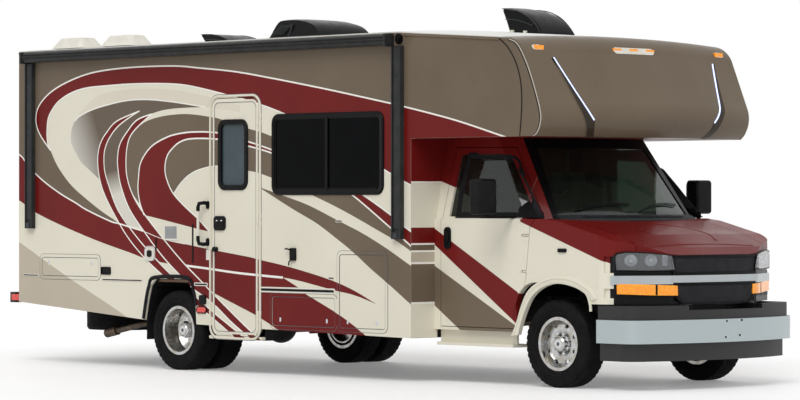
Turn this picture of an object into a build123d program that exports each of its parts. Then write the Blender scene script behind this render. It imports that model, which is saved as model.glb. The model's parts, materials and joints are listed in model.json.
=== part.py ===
from build123d import *
import math
import os

os.makedirs("parts", exist_ok=True)

# Motorhome built on a cutaway van chassis. Millimetres, +X forward, +Y to the vehicle's left, +Z up.
# The origin is on the ground, under the middle of the overall length and on the centre plane.

# ---- driving dimensions ----
WHEELBASE = 4500
FRONT_OVERHANG = 1060          # front axle to the foremost point of the bumper
REAR_OVERHANG = 2560           # rear axle to the rear face of the rear bumper
SEAT = 0.3                     # gap between faces that seat on each other
GAP = 6                        # shut gap round doors, lids and the hood

FRONT_AXLE_X = WHEELBASE / 2 + (REAR_OVERHANG - FRONT_OVERHANG) / 2
REAR_AXLE_X = FRONT_AXLE_X - WHEELBASE

# tyres and wheels
TYRE_R = 362
TYRE_W = 225
BEAD_R = 205
RIM_W = 176
RIM_SECTION = 8
FRONT_TYRE_Y = 855             # centre plane of the front tyre
TWIN_INSET = 128               # from the skirt's face to the centre plane of the outer rear tyre
TWIN_SPACING = 285
HUB_R = 70
SPINDLE_R = 27
RUN_FIT = 0.3

# coach box
BODY_W = 2566
WALL = 45
COACH_FRONT_X = FRONT_AXLE_X - 1400
COACH_REAR_X = REAR_AXLE_X - 2345
ROOF_EDGE_Z = 2960
ROOF_CROWN = 40
ROOF_T = 20                    # depth of the roof's edge over the walls
ROOF_LEVEL_REACH = -150        # the level roof ends this far ahead of the coach's front wall
FLOOR_Z = 860                  # walking surface of the coach
FLOOR_T = 60
SKIRT_FRONT_Z = 377
SKIRT_MID_Z = 425
SKIRT_REAR_Z = 576
SKIRT_TOP_Z = 1120             # seam between the skirt panels and the wall above them
OVERCAB_Z = 2070               # underside of the sleeping loft above the cab
OVERCAB_T = 40

# cab
CAB_W = 2012
BELT_Z = 1390
CAB_TOP_Z = OVERCAB_Z - SEAT
CAB_FLOOR_Z = 770
CAB_FLOOR_T = 30
SILL_Z = 450
SKIN = 55                      # thickness of the cab's doors, pillars and fenders

# chassis
RAIL_Y = 405                   # centre of each frame rail
RAIL_W = 60
RAIL_H = 170
RAIL_TOP_Z = 700
RAIL_WEB = 8

# hinges: each pin stands in the fixed side and turns in a bore of the door, lid or hood
PIN_R = 4
PIN_INSET = 5                  # hinge axis behind the outer face
PIN_FIT = 0.1
LID_AXIS_DROP = 25             # hinge axis below a lid's top edge

WHEEL_Z = TYRE_R
SIDE_Y = BODY_W / 2
IN_Y = SIDE_Y - WALL
HALF_CAB = CAB_W / 2
REAR_OUTER_Y = SIDE_Y - TWIN_INSET
ROOF_BREAK_X = COACH_FRONT_X + ROOF_LEVEL_REACH


# ---- helpers ----
def block(x0, x1, y0, y1, z0, z1):
    centre = ((x0 + x1) / 2, (y0 + y1) / 2, (z0 + z1) / 2)
    return Pos(*centre) * Box(abs(x1 - x0), abs(y1 - y0), abs(z1 - z0))


def side_prism(points, y0, y1):
    """Extrude a closed outline of (x, z) points from y0 to y1."""
    face = make_face(Polyline(*[(x, y0, z) for x, z in points], close=True))
    return extrude(face, amount=y1 - y0, dir=(0, 1, 0))


def front_prism(points, x0, x1):
    """Extrude a closed outline of (y, z) points from x0 to x1."""
    face = make_face(Polyline(*[(x0, y, z) for y, z in points], close=True))
    return extrude(face, amount=x1 - x0, dir=(1, 0, 0))


def plan_prism(points, z0, z1):
    """Extrude a closed outline of (x, y) points from z0 to z1."""
    face = make_face(Polyline(*[(x, y, z0) for x, y in points], close=True))
    return extrude(face, amount=z1 - z0, dir=(0, 0, 1))


def side_panel(x0, x1, z0, z1, radius, y0, y1):
    """A plate with rounded corners, upright and facing sideways."""
    plane = Plane(origin=((x0 + x1) / 2, y0, (z0 + z1) / 2), x_dir=(1, 0, 0), z_dir=(0, -1, 0))
    face = plane * RectangleRounded(x1 - x0, z1 - z0, radius)
    return extrude(face, amount=abs(y1 - y0), dir=(0, 1 if y1 > y0 else -1, 0))


def cross_cylinder(x, y, z, radius, y0, y1):
    """A cylinder lying along Y."""
    return Pos(x, (y0 + y1) / 2 + y, z) * Rot(90, 0, 0) * Cylinder(radius, abs(y1 - y0))


def upright_cylinder(x, y, z0, z1, radius):
    return Pos(x, y, (z0 + z1) / 2) * Cylinder(radius, z1 - z0)


def turned_about_y(profile, x, y, z, side):
    """Revolve a closed (radius, outward) profile about a wheel's axle line."""
    points = [(r, side * t, 0) for r, t in profile]
    face = make_face(Polyline(*points, close=True))
    return Pos(x, y, z) * revolve(face, Axis.Y)


def pin(start, length, direction, extra=0.0):
    """A hinge pin, or with extra the bore that turns on it."""
    plane = Plane(origin=start, z_dir=direction)
    return extrude(plane * Circle(PIN_R + extra), amount=length)


def mirrored(shape):
    return mirror(shape, about=Plane.XZ)


def both(shape):
    """A piece and its mirror image on the other side of the vehicle."""
    return [shape, mirrored(shape)]


def save(name, *shapes):
    solids = []
    for shape in shapes:
        group = shape if isinstance(shape, (list, tuple)) else [shape]
        for item in group:
            solids.extend(item.solids())
    export_step(Compound(children=solids) if len(solids) > 1 else solids[0], f"parts/{name}.step")
    return solids


# ---- coach box: floor, walls, roof and loft ----
COACH_FLOOR_UNDER_Z = FLOOR_Z - FLOOR_T
ARCH_OUTLINE = [(-446, -100), (-446, 94), (-410, 257), (-365, 398), (-290, 466),
                (155, 470), (239, 366), (281, 229), (301, -100)]   # (x, z) from the rear wheel's centre
DOOR_X = (REAR_AXLE_X + 504, REAR_AXLE_X + 1151)                   # entry door opening
DOOR_Z = (330, 2465)
DOOR_R = 90
ARCH_SKIN = 9                  # the skirt is only this thick beside the rear tyres
BIG_WINDOW = (DOOR_X[1] + 189, COACH_FRONT_X - 345, 1605, 2295)
REAR_WINDOW = (-560, 560, 1560, 2110)                              # (y, y, z, z)
LEFT_WINDOWS = [(COACH_REAR_X + 600, COACH_REAR_X + 1350, 1605, 2205),
                (COACH_FRONT_X - 1960, COACH_FRONT_X - 620, 1605, 2305)]
WINDOW_R = 70
# baggage lids: name, side (-1 right, 1 left), rear x, front x, bottom z, top z
LIDS = [("baggage_lid_rear", -1, COACH_REAR_X + 359, COACH_REAR_X + 1225, 830, 1010),
        ("baggage_lid_middle", -1, DOOR_X[1] + 179, COACH_FRONT_X - 950, 440, 700),
        ("baggage_lid_front", -1, COACH_FRONT_X - 895, COACH_FRONT_X - 314, 440, 1080),
        ("baggage_lid_left", 1, COACH_FRONT_X - 1770, COACH_FRONT_X - 650, 440, 700)]
LID_R = 30
CAP_SEAM = [(2658, 2874), (2750, 2804), (2842, 2677), (2899, 2511), (2910, 2304), (2887, OVERCAB_Z)]
SEAM_SHIFT = FRONT_AXLE_X - 3000


def seam_points():
    return [(x + SEAM_SHIFT, z) for x, z in CAP_SEAM]


def wall_outline():
    """Side wall: roof edge, seam of the front cap, front corner, then the skirt to the rear."""
    front = seam_points()
    return ([(COACH_REAR_X, SKIRT_REAR_Z), (COACH_REAR_X, ROOF_EDGE_Z),
             (ROOF_BREAK_X, ROOF_EDGE_Z)] + front +
            [(COACH_FRONT_X, OVERCAB_Z), (COACH_FRONT_X, SKIRT_FRONT_Z),
             (DOOR_X[1], SKIRT_FRONT_Z + 30), (REAR_AXLE_X + 301, SKIRT_MID_Z),
             (REAR_AXLE_X - 446, SKIRT_MID_Z + 24)])


def lid_solid(x0, x1, z0, z1, side, gap=0.0):
    y_in, y_out = side * IN_Y, side * SIDE_Y
    return side_panel(x0 + gap, x1 - gap, z0 + gap, z1 - gap, LID_R, y_in, y_out)


def lid_pins(x0, x1, z1, side, extra=0.0):
    """The two pins on a lid's hinge line, one at each end."""
    y, z = side * (SIDE_Y - PIN_INSET), z1 - GAP - LID_AXIS_DROP
    return [pin((x0 - 12, y, z), 34 + extra, (1, 0, 0), PIN_FIT if extra else 0),
            pin((x1 + 12, y, z), 34 + extra, (-1, 0, 0), PIN_FIT if extra else 0)]


ENTRY_HINGE_Z = (470, 1330, 2220)    # lower ends of the entry door's three hinges
HINGE_H = 96
HINGE_PROUD = 9                # the hinges' axis stands this far outside the wall
KNUCKLE_R = 7.5
KNUCKLE_GAP = 0.5
LEAF_REACH, LEAF_T = 34, 3
ENTRY_AXIS = (DOOR_X[1] - GAP / 2, -(SIDE_Y + HINGE_PROUD))


def hinge_part(z0, z1, way):
    """One knuckle on the entry door's axis, with its leaf forward (way 1) on the wall or back (-1) on the door."""
    x, y = ENTRY_AXIS
    leaf_x = sorted((x, x + way * LEAF_REACH))
    return upright_cylinder(x, y, z0, z1, KNUCKLE_R) + block(*leaf_x, -SIDE_Y - LEAF_T, -SIDE_Y, z0, z1)


def wall_hinge(z):
    third = HINGE_H / 3
    pin_solid = pin((*ENTRY_AXIS, z + 1), HINGE_H - 2, (0, 0, 1))
    return hinge_part(z, z + third, 1) + hinge_part(z + 2 * third, z + HINGE_H, 1) + pin_solid


def door_hinge(z):
    third = HINGE_H / 3
    knuckle = hinge_part(z + third + KNUCKLE_GAP, z + 2 * third - KNUCKLE_GAP, -1)
    return knuckle - pin((*ENTRY_AXIS, z), HINGE_H, (0, 0, 1), PIN_FIT)


def side_wall(side):
    y_in, y_out = side * IN_Y, side * SIDE_Y
    wall = side_prism(wall_outline(), y_in, y_out) if side > 0 else side_prism(wall_outline(), y_out, y_in)
    arch = [(REAR_AXLE_X + x, WHEEL_Z + z) for x, z in ARCH_OUTLINE]
    low, high = min(y_in, y_out) - 5, max(y_in, y_out) + 5
    wall -= side_prism(arch, low, high)
    relief = sorted((side * (IN_Y - 5), side * (SIDE_Y - ARCH_SKIN)))
    wall -= cross_cylinder(REAR_AXLE_X, 0, WHEEL_Z, TYRE_R + 25, *relief)
    for _, lid_side, x0, x1, z0, z1 in LIDS:
        if lid_side == side:
            wall -= side_panel(x0, x1, z0, z1, LID_R + GAP, low, high)
            for lid_pin in lid_pins(x0, x1, z1, side):
                wall += lid_pin
    if side < 0:
        wall -= side_panel(*DOOR_X, *DOOR_Z, DOOR_R, low, high)
        wall -= block(*DOOR_X, low, high, DOOR_Z[0] - 200, DOOR_Z[0] + 200)
        for z in ENTRY_HINGE_Z:
            wall += wall_hinge(z)
        wall -= side_panel(*BIG_WINDOW, WINDOW_R, low, high)
    else:
        for window in LEFT_WINDOWS:
            wall -= side_panel(*window, WINDOW_R, low, high)
    return wall - block(COACH_REAR_X - 5, COACH_FRONT_X + 5, low, high, SKIRT_TOP_Z, SKIRT_TOP_Z + SEAT)


save("wall_right", side_wall(-1))
save("wall_left", side_wall(1))

# rear wall with its window, between the side walls
rear_wall = block(COACH_REAR_X, COACH_REAR_X + WALL, -IN_Y + SEAT, IN_Y - SEAT, SKIRT_REAR_Z, ROOF_EDGE_Z)
ry0, ry1, rz0, rz1 = REAR_WINDOW
rear_plane = Plane(origin=(COACH_REAR_X - 5, (ry0 + ry1) / 2, (rz0 + rz1) / 2), x_dir=(0, 1, 0), z_dir=(1, 0, 0))
rear_hole = extrude(rear_plane * RectangleRounded(ry1 - ry0, rz1 - rz0, WINDOW_R), amount=WALL + 10)
rail_gap = block(COACH_REAR_X - 5, COACH_REAR_X + WALL + 5, -RAIL_Y - RAIL_W, RAIL_Y + RAIL_W, SKIRT_REAR_Z - 5,
                 RAIL_TOP_Z + 10)
save("wall_rear", rear_wall - rear_hole - rail_gap)

# partition behind the cab, with the way through to the cab
PASSAGE = (-700, 700, FLOOR_Z + 40, 1980)
front_wall = block(COACH_FRONT_X - WALL, COACH_FRONT_X, -IN_Y + SEAT, IN_Y - SEAT, SKIRT_FRONT_Z, OVERCAB_Z - SEAT)
front_wall -= block(COACH_FRONT_X - WALL - 5, COACH_FRONT_X + 5, *PASSAGE)
front_wall -= block(COACH_FRONT_X - WALL - 5, COACH_FRONT_X + 5, -RAIL_Y - 60, RAIL_Y + 60, SKIRT_FRONT_Z - 5,
                    RAIL_TOP_Z + 10)

# floor, cut out over the step well
STEP_X = (DOOR_X[0] - 40, DOOR_X[1] + 40)
STEP_DEPTH = 560
STEP_T = 12
floor_gaps = [(*STEP_X, -IN_Y + STEP_DEPTH)]       # (x, x, y) where the right side's panels stop
# baggage boxes behind the lids: trays open to the outside, hung from the wall and let into the floor
BOX_T = 8
BOX_DEPTH = 500
BOX_MARGIN = (22, 16)          # round the lid's opening, along X and Z
baggage_boxes = []
for _, lid_side, x0, x1, z0, z1 in LIDS:
    mx, mz = BOX_MARGIN
    box_x, box_z = (x0 - mx, x1 + mx), (z0 - mz, z1 + mz)
    mouth_y, back_y = lid_side * (IN_Y - SEAT), lid_side * (IN_Y - BOX_DEPTH)
    tray = block(*box_x, mouth_y, back_y, *box_z)
    tray -= block(box_x[0] + BOX_T, box_x[1] - BOX_T, mouth_y + lid_side, back_y + lid_side * BOX_T,
                  box_z[0] + BOX_T, box_z[1] - BOX_T)
    baggage_boxes.append(tray)
    if lid_side < 0 and box_z[1] > COACH_FLOOR_UNDER_Z:
        floor_gaps.append((box_x[0] - SEAT, box_x[1] + SEAT, back_y + SEAT))


def floor_panels():
    """One wide panel, and narrow ones between the step well and the boxes let into the floor."""
    x_rear, x_front = COACH_REAR_X + WALL + SEAT, COACH_FRONT_X - WALL - SEAT
    wall_y, seam_y = -IN_Y + SEAT, -IN_Y + STEP_DEPTH
    layer = (COACH_FLOOR_UNDER_Z, FLOOR_Z)
    panels = [block(x_rear, x_front, seam_y, IN_Y - SEAT, *layer)]
    start = x_rear
    for x0, x1, back_y in sorted(floor_gaps):
        panels.append(block(start, x0, wall_y, seam_y - SEAT, *layer))
        if back_y < seam_y:
            panels.append(block(x0 + SEAT, x1 - SEAT, back_y, seam_y - SEAT, *layer))
        start = x1
    panels.append(block(start, x_front, wall_y, seam_y - SEAT, *layer))
    return panels


save("coach_floor", floor_panels())
save("baggage_boxes", baggage_boxes)

# step well: a folded tray with two treads, hung in the floor's cut-out
STEP_Z = 300
TREADS = 2
well_y0, well_y1 = -IN_Y + SEAT, -IN_Y + STEP_DEPTH - SEAT
well_x0, well_x1 = STEP_X[0] + SEAT, STEP_X[1] - SEAT
rise = (FLOOR_Z - STEP_Z - STEP_T) / (TREADS + 1)
run_y = STEP_DEPTH / (TREADS + 1)
outline = [(well_y0, STEP_Z)]
for step in range(TREADS):
    y = well_y0 + run_y * (step + 1)
    outline += [(y, STEP_Z + rise * step), (y, STEP_Z + rise * (step + 1))]
outline += [(well_y1, STEP_Z + rise * TREADS), (well_y1, FLOOR_Z)]
inner = [(well_y1 - STEP_T, FLOOR_Z), (well_y1 - STEP_T, STEP_Z + rise * TREADS + STEP_T)]
for step in reversed(range(TREADS)):
    y = well_y0 + run_y * (step + 1) - STEP_T
    inner += [(y, STEP_Z + rise * (step + 1) + STEP_T), (y, STEP_Z + rise * step + STEP_T)]
inner += [(well_y0, STEP_Z + STEP_T)]
stairs = front_prism(outline + inner, well_x0, well_x1)
cheeks = []
for x0, x1 in ((well_x0, well_x0 + STEP_T), (well_x1 - STEP_T, well_x1)):
    cheeks.append(front_prism(outline + [(well_y0, FLOOR_Z)], x0, x1))
save("step_well", stairs + cheeks[0] + cheeks[1])

# roof: a shallow crowned slab over the walls, level and then falling to the front cap's seam
def roof_section(x, edge_z):
    top = edge_z + ROOF_T
    edges = Polyline((SIDE_Y, top), (SIDE_Y, edge_z), (-SIDE_Y, edge_z), (-SIDE_Y, top))
    crown = ThreePointArc((-SIDE_Y, top), (0, top + ROOF_CROWN), (SIDE_Y, top))
    plane = Plane(origin=(x, 0, 0), x_dir=(0, 1, 0), z_dir=(1, 0, 0))
    return plane * make_face(edges + crown)


seam_top_x, seam_top_z = seam_points()[0]
level = roof_section(ROOF_BREAK_X, ROOF_EDGE_Z + SEAT)
roof = loft([roof_section(COACH_REAR_X, ROOF_EDGE_Z + SEAT), level], ruled=True)
roof += loft([level, roof_section(seam_top_x - SEAT, seam_top_z + SEAT)], ruled=True)
save("roof", roof)


# ---- front cap over the cab ----
CAP_T = 40
CAP_BOW = 115                  # how far the middle of the cap stands ahead of its sides


def cap_section(y, bow, lift, inset):
    """Closed side profile of the cap at one station across the vehicle."""
    x0 = SEAM_SHIFT
    top = 2894 + lift - inset
    back = (x0 + 2500, top)
    shoulder = (x0 + 2770 + 0.3 * bow - inset / 2, top - 12)
    brow = (x0 + 2950 + 0.3 * bow - inset, 2755 + lift / 2 - inset / 2)
    cheek = (x0 + 3125 + bow - inset, 2345)
    chin = (x0 + 3138 + bow - inset, 2190)
    throat = (x0 + 3046 + bow - inset, OVERCAB_Z + inset)
    heel = (x0 + 2500, OVERCAB_Z + inset)
    plane = Plane(origin=(0, y, 0), x_dir=(1, 0, 0), z_dir=(0, -1, 0))
    outline = (Line(back, shoulder) + ThreePointArc(shoulder, (x0 + 2885 + 0.3 * bow - inset * 0.8, top - 62), brow)
               + Line(brow, cheek) + ThreePointArc(cheek, chin, throat) + Line(throat, heel) + Line(heel, back))
    return plane * make_face(outline)


def cap_body(inset):
    reach = SIDE_Y - inset
    return loft([cap_section(-reach, 0, 0, inset), cap_section(0, CAP_BOW, ROOF_CROWN, inset),
                 cap_section(reach, 0, 0, inset)])


behind_seam = side_prism(seam_points() + [(COACH_FRONT_X, OVERCAB_Z), (COACH_FRONT_X, 3100),
                                          (seam_points()[0][0], 3100)], -SIDE_Y - 20, SIDE_Y + 20)
front_cap = cap_body(0) - cap_body(CAP_T)
front_cap -= Pos(SEAT, 0, 0) * behind_seam
save("front_cap", front_cap)

# loft floor between the side walls, over the cab roof
loft_floor = block(COACH_FRONT_X + SEAT, seam_points()[-1][0] - 60, -IN_Y + SEAT, IN_Y - SEAT,
                   OVERCAB_Z, OVERCAB_Z + OVERCAB_T)
save("partition", front_wall, loft_floor)


# ---- cab: skin, split into shell, doors and hood ----
NOSE_X = FRONT_AXLE_X + 905
CAB_SIDE_END_X = FRONT_AXLE_X + 480
FENDER_CORNER = (FRONT_AXLE_X + 640, 945)
LAMP_CORNER = (FRONT_AXLE_X + 862, 541)
HOOD_REAR_X = FRONT_AXLE_X + 60
HOOD_HALF_W = 790
HOOD_FRONT_Z = 1115
HOOD_REAR_Z = 1372
FACE_Z = 700                   # bottom of the cab's face, behind the bumper
FRONT_ARCH_R = 150


def lower_cab(inset):
    """Body below the belt: plan outline cut to the side profile of the hood."""
    side_y = HALF_CAB - inset
    rear_x = COACH_FRONT_X + SEAT + (0 if inset == 0 else -20)
    corner = (FENDER_CORNER[0] - inset, FENDER_CORNER[1] - inset)
    lamp = (LAMP_CORNER[0] - inset, LAMP_CORNER[1] - inset * 0.3)
    right = (Polyline((rear_x, -side_y), (CAB_SIDE_END_X, -side_y))
             + ThreePointArc((CAB_SIDE_END_X, -side_y), (CAB_SIDE_END_X + 95 - inset / 2, -side_y + 14), (corner[0], -corner[1]))
             + Line((corner[0], -corner[1]), (lamp[0], -lamp[1])))
    nose = ThreePointArc((lamp[0], -lamp[1]), (NOSE_X - inset, 0), lamp)
    left = (Line(lamp, corner)
            + ThreePointArc(corner, (CAB_SIDE_END_X + 95 - inset / 2, side_y - 14), (CAB_SIDE_END_X, side_y))
            + Polyline((CAB_SIDE_END_X, side_y), (rear_x, side_y), (rear_x, -side_y)))
    plan = extrude(Pos(0, 0, SILL_Z - (0 if inset == 0 else 10)) * make_face(right + nose + left), amount=1000)
    top = BELT_Z + (0 if inset == 0 else 10)
    side = [(rear_x - 10, SILL_Z - 20), (rear_x - 10, top), (HOOD_REAR_X - 150, top),
            (HOOD_REAR_X, HOOD_REAR_Z - inset), (FRONT_AXLE_X + 500, 1262 - inset),
            (FRONT_AXLE_X + 780, 1158 - inset), (FRONT_AXLE_X + 868 - inset, HOOD_FRONT_Z - 10 - inset),
            (NOSE_X - inset + 30, 1060 - inset), (NOSE_X + 40, SILL_Z - 20)]
    return plan & side_prism(side, -HALF_CAB - 10, HALF_CAB + 10)


BELT_PLAN = [(2860, 860), (3000, 0)]    # windshield base: corner and centre
TOP_PLAN = [(2400, 745), (2505, 0)]     # windshield head: corner and centre


def glasshouse_section(z, side_y, corner, centre, inset, rear_x):
    x_shift = SEAM_SHIFT
    cx, cy = corner[0] + x_shift - inset, corner[1] - inset
    points = [(rear_x, side_y - inset), (cx - 190, side_y - inset), (cx, cy)]
    edges = (Polyline(*points) + ThreePointArc((cx, cy), (centre + x_shift - inset, 0), (cx, -cy))
             + Polyline(*[(x, -y) for x, y in reversed(points)])
             + Line((rear_x, -side_y + inset), (rear_x, side_y - inset)))
    return Pos(0, 0, z) * make_face(edges)


def glasshouse(inset):
    rear_x = COACH_FRONT_X + SEAT - (0 if inset == 0 else 20)
    low, high = BELT_Z, CAB_TOP_Z - (SKIN if inset == SKIN else 0)
    share = (high - low) / (CAB_TOP_Z - low)
    corner = tuple(b + (t - b) * share for b, t in zip(BELT_PLAN[0], TOP_PLAN[0]))
    centre = BELT_PLAN[1][0] + (TOP_PLAN[1][0] - BELT_PLAN[1][0]) * share
    side_low, side_high = 985, 985 - 140 * share
    base = glasshouse_section(low, side_low, BELT_PLAN[0], BELT_PLAN[1][0], inset, rear_x)
    head = glasshouse_section(high, side_high, corner, centre, inset, rear_x)
    return loft([base, head], ruled=True)


cab_skin = (lower_cab(0) - lower_cab(SKIN)) + (glasshouse(0) - glasshouse(SKIN))
# front wheel arches, and the room behind the bumper
FRONT_ARCH = (FRONT_AXLE_X - 425, FRONT_AXLE_X + 415, SILL_Z - 300, WHEEL_Z + 505)
for side in (-1, 1):
    cab_skin -= side_panel(*FRONT_ARCH, FRONT_ARCH_R + 70, side * (HALF_CAB - 450), side * (HALF_CAB + 10))
    cab_skin -= block(FRONT_AXLE_X + 300, NOSE_X + 50, -HALF_CAB - 10, HALF_CAB + 10, SILL_Z - 20, FACE_Z)

# a raised lip round each front wheel arch
LIP_W, LIP_PROUD = 18, 8
arch_x0, arch_x1, arch_z0, arch_z1 = FRONT_ARCH
for side in (-1, 1):
    lip_y = (side * (HALF_CAB - 6), side * (HALF_CAB + LIP_PROUD))
    lip = side_panel(arch_x0 - LIP_W, arch_x1 + LIP_W, arch_z0, arch_z1 + LIP_W, FRONT_ARCH_R + 70 + LIP_W, *lip_y)
    lip -= side_panel(*FRONT_ARCH, FRONT_ARCH_R + 70, side * (HALF_CAB - 20), side * (HALF_CAB + 20))
    lip &= block(arch_x0 - 30, arch_x1 + 30, *sorted((side * (HALF_CAB - 20), side * (HALF_CAB + 20))), 640, arch_z1 + 30)
    cab_skin += lip

# doors
DOOR_REAR_X = COACH_FRONT_X + 80
DOOR_FRONT_X = FRONT_AXLE_X - 270
CAB_DOOR = [(DOOR_REAR_X, 480), (DOOR_REAR_X, BELT_Z), (DOOR_REAR_X + 45, 1992), (FRONT_AXLE_X - 620, 1985),
            (FRONT_AXLE_X - 210, BELT_Z + 10), (DOOR_FRONT_X, BELT_Z - 70), (FRONT_AXLE_X - 325, 840),
            (FRONT_AXLE_X - 455, 640), (FRONT_AXLE_X - 455, 480)]
CAB_WINDOW = [(DOOR_REAR_X + 72, BELT_Z + 18), (DOOR_REAR_X + 110, 1935), (FRONT_AXLE_X - 640, 1930),
              (FRONT_AXLE_X - 268, BELT_Z + 22)]


def outline_prism(points, amount, y0, y1):
    """Extrude an (x, z) outline that is first pushed outwards by amount."""
    face = make_face(Polyline(*points, close=True))
    if amount:
        face = offset(face, amount, kind=Kind.INTERSECTION)
    plane = Plane(origin=(0, y0, 0), x_dir=(1, 0, 0), z_dir=(0, -1, 0))
    return extrude(plane * face, amount=y1 - y0, dir=(0, 1, 0))


door_zone = outline_prism(CAB_DOOR, 0, 600, HALF_CAB + 20)
door_gap = outline_prism(CAB_DOOR, GAP, 600, HALF_CAB + 20)
window_zone = outline_prism(CAB_WINDOW, 0, 600, HALF_CAB + 20)
door_left = (cab_skin & door_zone) - window_zone
GLASS_IN, GLASS_T = 22, 6
glass_skin = glasshouse(GLASS_IN) - glasshouse(GLASS_IN + GLASS_T)
door_glass_left = glass_skin & outline_prism(CAB_WINDOW, -SEAT, 600, HALF_CAB + 20)
cab_shell = cab_skin - door_gap - mirrored(door_gap)

# windshield
SHIELD = [(-800, BELT_Z + 25), (800, BELT_Z + 25), (672, 1985), (-672, 1985)]
shield_zone = front_prism(SHIELD, FRONT_AXLE_X - 900, FRONT_AXLE_X + 60)
cab_shell -= shield_zone
windshield = (glasshouse(8) - glasshouse(16)) & front_prism(
    [(-799, BELT_Z + 26), (799, BELT_Z + 26), (671, 1984), (-671, 1984)], FRONT_AXLE_X - 900, FRONT_AXLE_X + 60)

# hood
HOOD_FRONT_X = FRONT_AXLE_X + 862
hood_zone = block(HOOD_REAR_X, HOOD_FRONT_X + 60, -HOOD_HALF_W, HOOD_HALF_W, 1098, 1500)
hood_gap = block(HOOD_REAR_X - GAP, HOOD_FRONT_X + 70, -HOOD_HALF_W - GAP, HOOD_HALF_W + GAP, 1098 - GAP, 1500)
hood = cab_skin & hood_zone
cab_shell -= hood_gap

# openings for the grille, the head lamps and the turn lamps
GRILLE_HALF_W = 500
grille_hole = block(FRONT_AXLE_X + 700, NOSE_X + 50, -GRILLE_HALF_W, GRILLE_HALF_W, FACE_Z + 20, 1080)
cab_shell -= grille_hole
for side in (-1, 1):
    for z0, z1 in ((955, 1088), (750, 828)):
        y0, y1 = sorted((side * 535, side * (HALF_CAB + 10)))
        cab_shell -= block(FRONT_AXLE_X + 560, NOSE_X, y0, y1, z0, z1)

# floor, rockers, firewall and cowl join the two sides; they stay clear of the doors' inner faces
CAB_IN_Y = HALF_CAB - SKIN
DOOR_CLEAR = 8
FIREWALL_X = FRONT_AXLE_X - 460
FIREWALL_HALF_W = 820
floor_y = CAB_IN_Y - DOOR_CLEAR
cab_x0 = COACH_FRONT_X + SEAT
floor_z0 = CAB_FLOOR_Z - CAB_FLOOR_T
cab_shell += block(cab_x0, FIREWALL_X + 30, -floor_y, floor_y, floor_z0, CAB_FLOOR_Z)
cab_shell += block(cab_x0, DOOR_REAR_X - GAP, -CAB_IN_Y - 5, CAB_IN_Y + 5, floor_z0, CAB_FLOOR_Z)
cab_shell += block(FIREWALL_X, FIREWALL_X + 30, -FIREWALL_HALF_W, FIREWALL_HALF_W, floor_z0, BELT_Z - 60)
cab_shell += block(FIREWALL_X, HOOD_REAR_X - 60, -FIREWALL_HALF_W, FIREWALL_HALF_W, BELT_Z - 90, BELT_Z - 60)
cab_shell += block(FRONT_AXLE_X - 190, HOOD_REAR_X - 60, -CAB_IN_Y - 5, CAB_IN_Y + 5, BELT_Z - 90, BELT_Z - 60)
for side in (-1, 1):
    rocker = sorted((side * (floor_y - 15), side * floor_y))
    flange = sorted((side * (floor_y - 15), side * (CAB_IN_Y + 5)))
    cab_shell += block(cab_x0, FRONT_AXLE_X - 462, *rocker, SILL_Z, floor_z0 + 5)
    cab_shell += block(cab_x0, FRONT_AXLE_X - 462, *flange, SILL_Z, SILL_Z + 12)

HINGE_X = FRONT_AXLE_X - 350
HINGE_Y = HALF_CAB - PIN_INSET
EAR_T, EAR_HALF_W = 10, 4
for ear_z in (950, 1250):
    # an ear from the fender reaches the pin through a notch in the door's front edge
    ear = block(HINGE_X, FRONT_AXLE_X - 240, HINGE_Y - EAR_HALF_W, HINGE_Y + EAR_HALF_W, ear_z, ear_z + EAR_T)
    ear += pin((HINGE_X, HINGE_Y, ear_z - 18), EAR_T + 36, (0, 0, 1))
    cab_shell = cab_shell + ear + mirrored(ear)
    door_left -= block(HINGE_X - 16, FRONT_AXLE_X - 100, HINGE_Y - 14, HALF_CAB + 10, ear_z - 6, ear_z + EAR_T + 6)
    door_left -= pin((HINGE_X, HINGE_Y, ear_z - 24), EAR_T + 48, (0, 0, 1), PIN_FIT)
HOOD_AXIS = (HOOD_REAR_X + 30, HOOD_REAR_Z - 13)
for side in (-1, 1):
    hood_pin = ((HOOD_AXIS[0], side * (HOOD_HALF_W + 30), HOOD_AXIS[1]), 60, (0, -side, 0))
    cab_shell += pin(*hood_pin)
    hood -= pin(hood_pin[0], 66, hood_pin[2], PIN_FIT)
save("cab_shell", cab_shell)
save("cab_door_left", door_left)
save("cab_door_right", mirrored(door_left))
save("cab_glass_left", door_glass_left)
save("cab_glass_right", mirrored(door_glass_left))
save("windshield", windshield)
save("hood", hood)


# ---- nose: grille, lamps, bumper and air dam ----
NOSE_BAR_Z = (862, 932)        # bright bar between the two grilles
NOSE_BAR_PROUD = 12
GRILLE_SLATS = 6


def nose_band(depth0, depth1, half_w, z0, z1):
    """A band that follows the bowed face of the nose between two depths behind it."""
    def arc_face(depth):
        reach = NOSE_X - depth
        edge_x = reach - (NOSE_X - LAMP_CORNER[0]) * (half_w / LAMP_CORNER[1]) ** 2
        return edge_x, reach
    e0, c0 = arc_face(depth0)
    e1, c1 = arc_face(depth1)
    outline = (ThreePointArc((e0, -half_w), (c0, 0), (e0, half_w)) + Line((e0, half_w), (e1, half_w))
               + ThreePointArc((e1, half_w), (c1, 0), (e1, -half_w)) + Line((e1, -half_w), (e0, -half_w)))
    return extrude(Pos(0, 0, z0) * make_face(outline), amount=z1 - z0)


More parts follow.
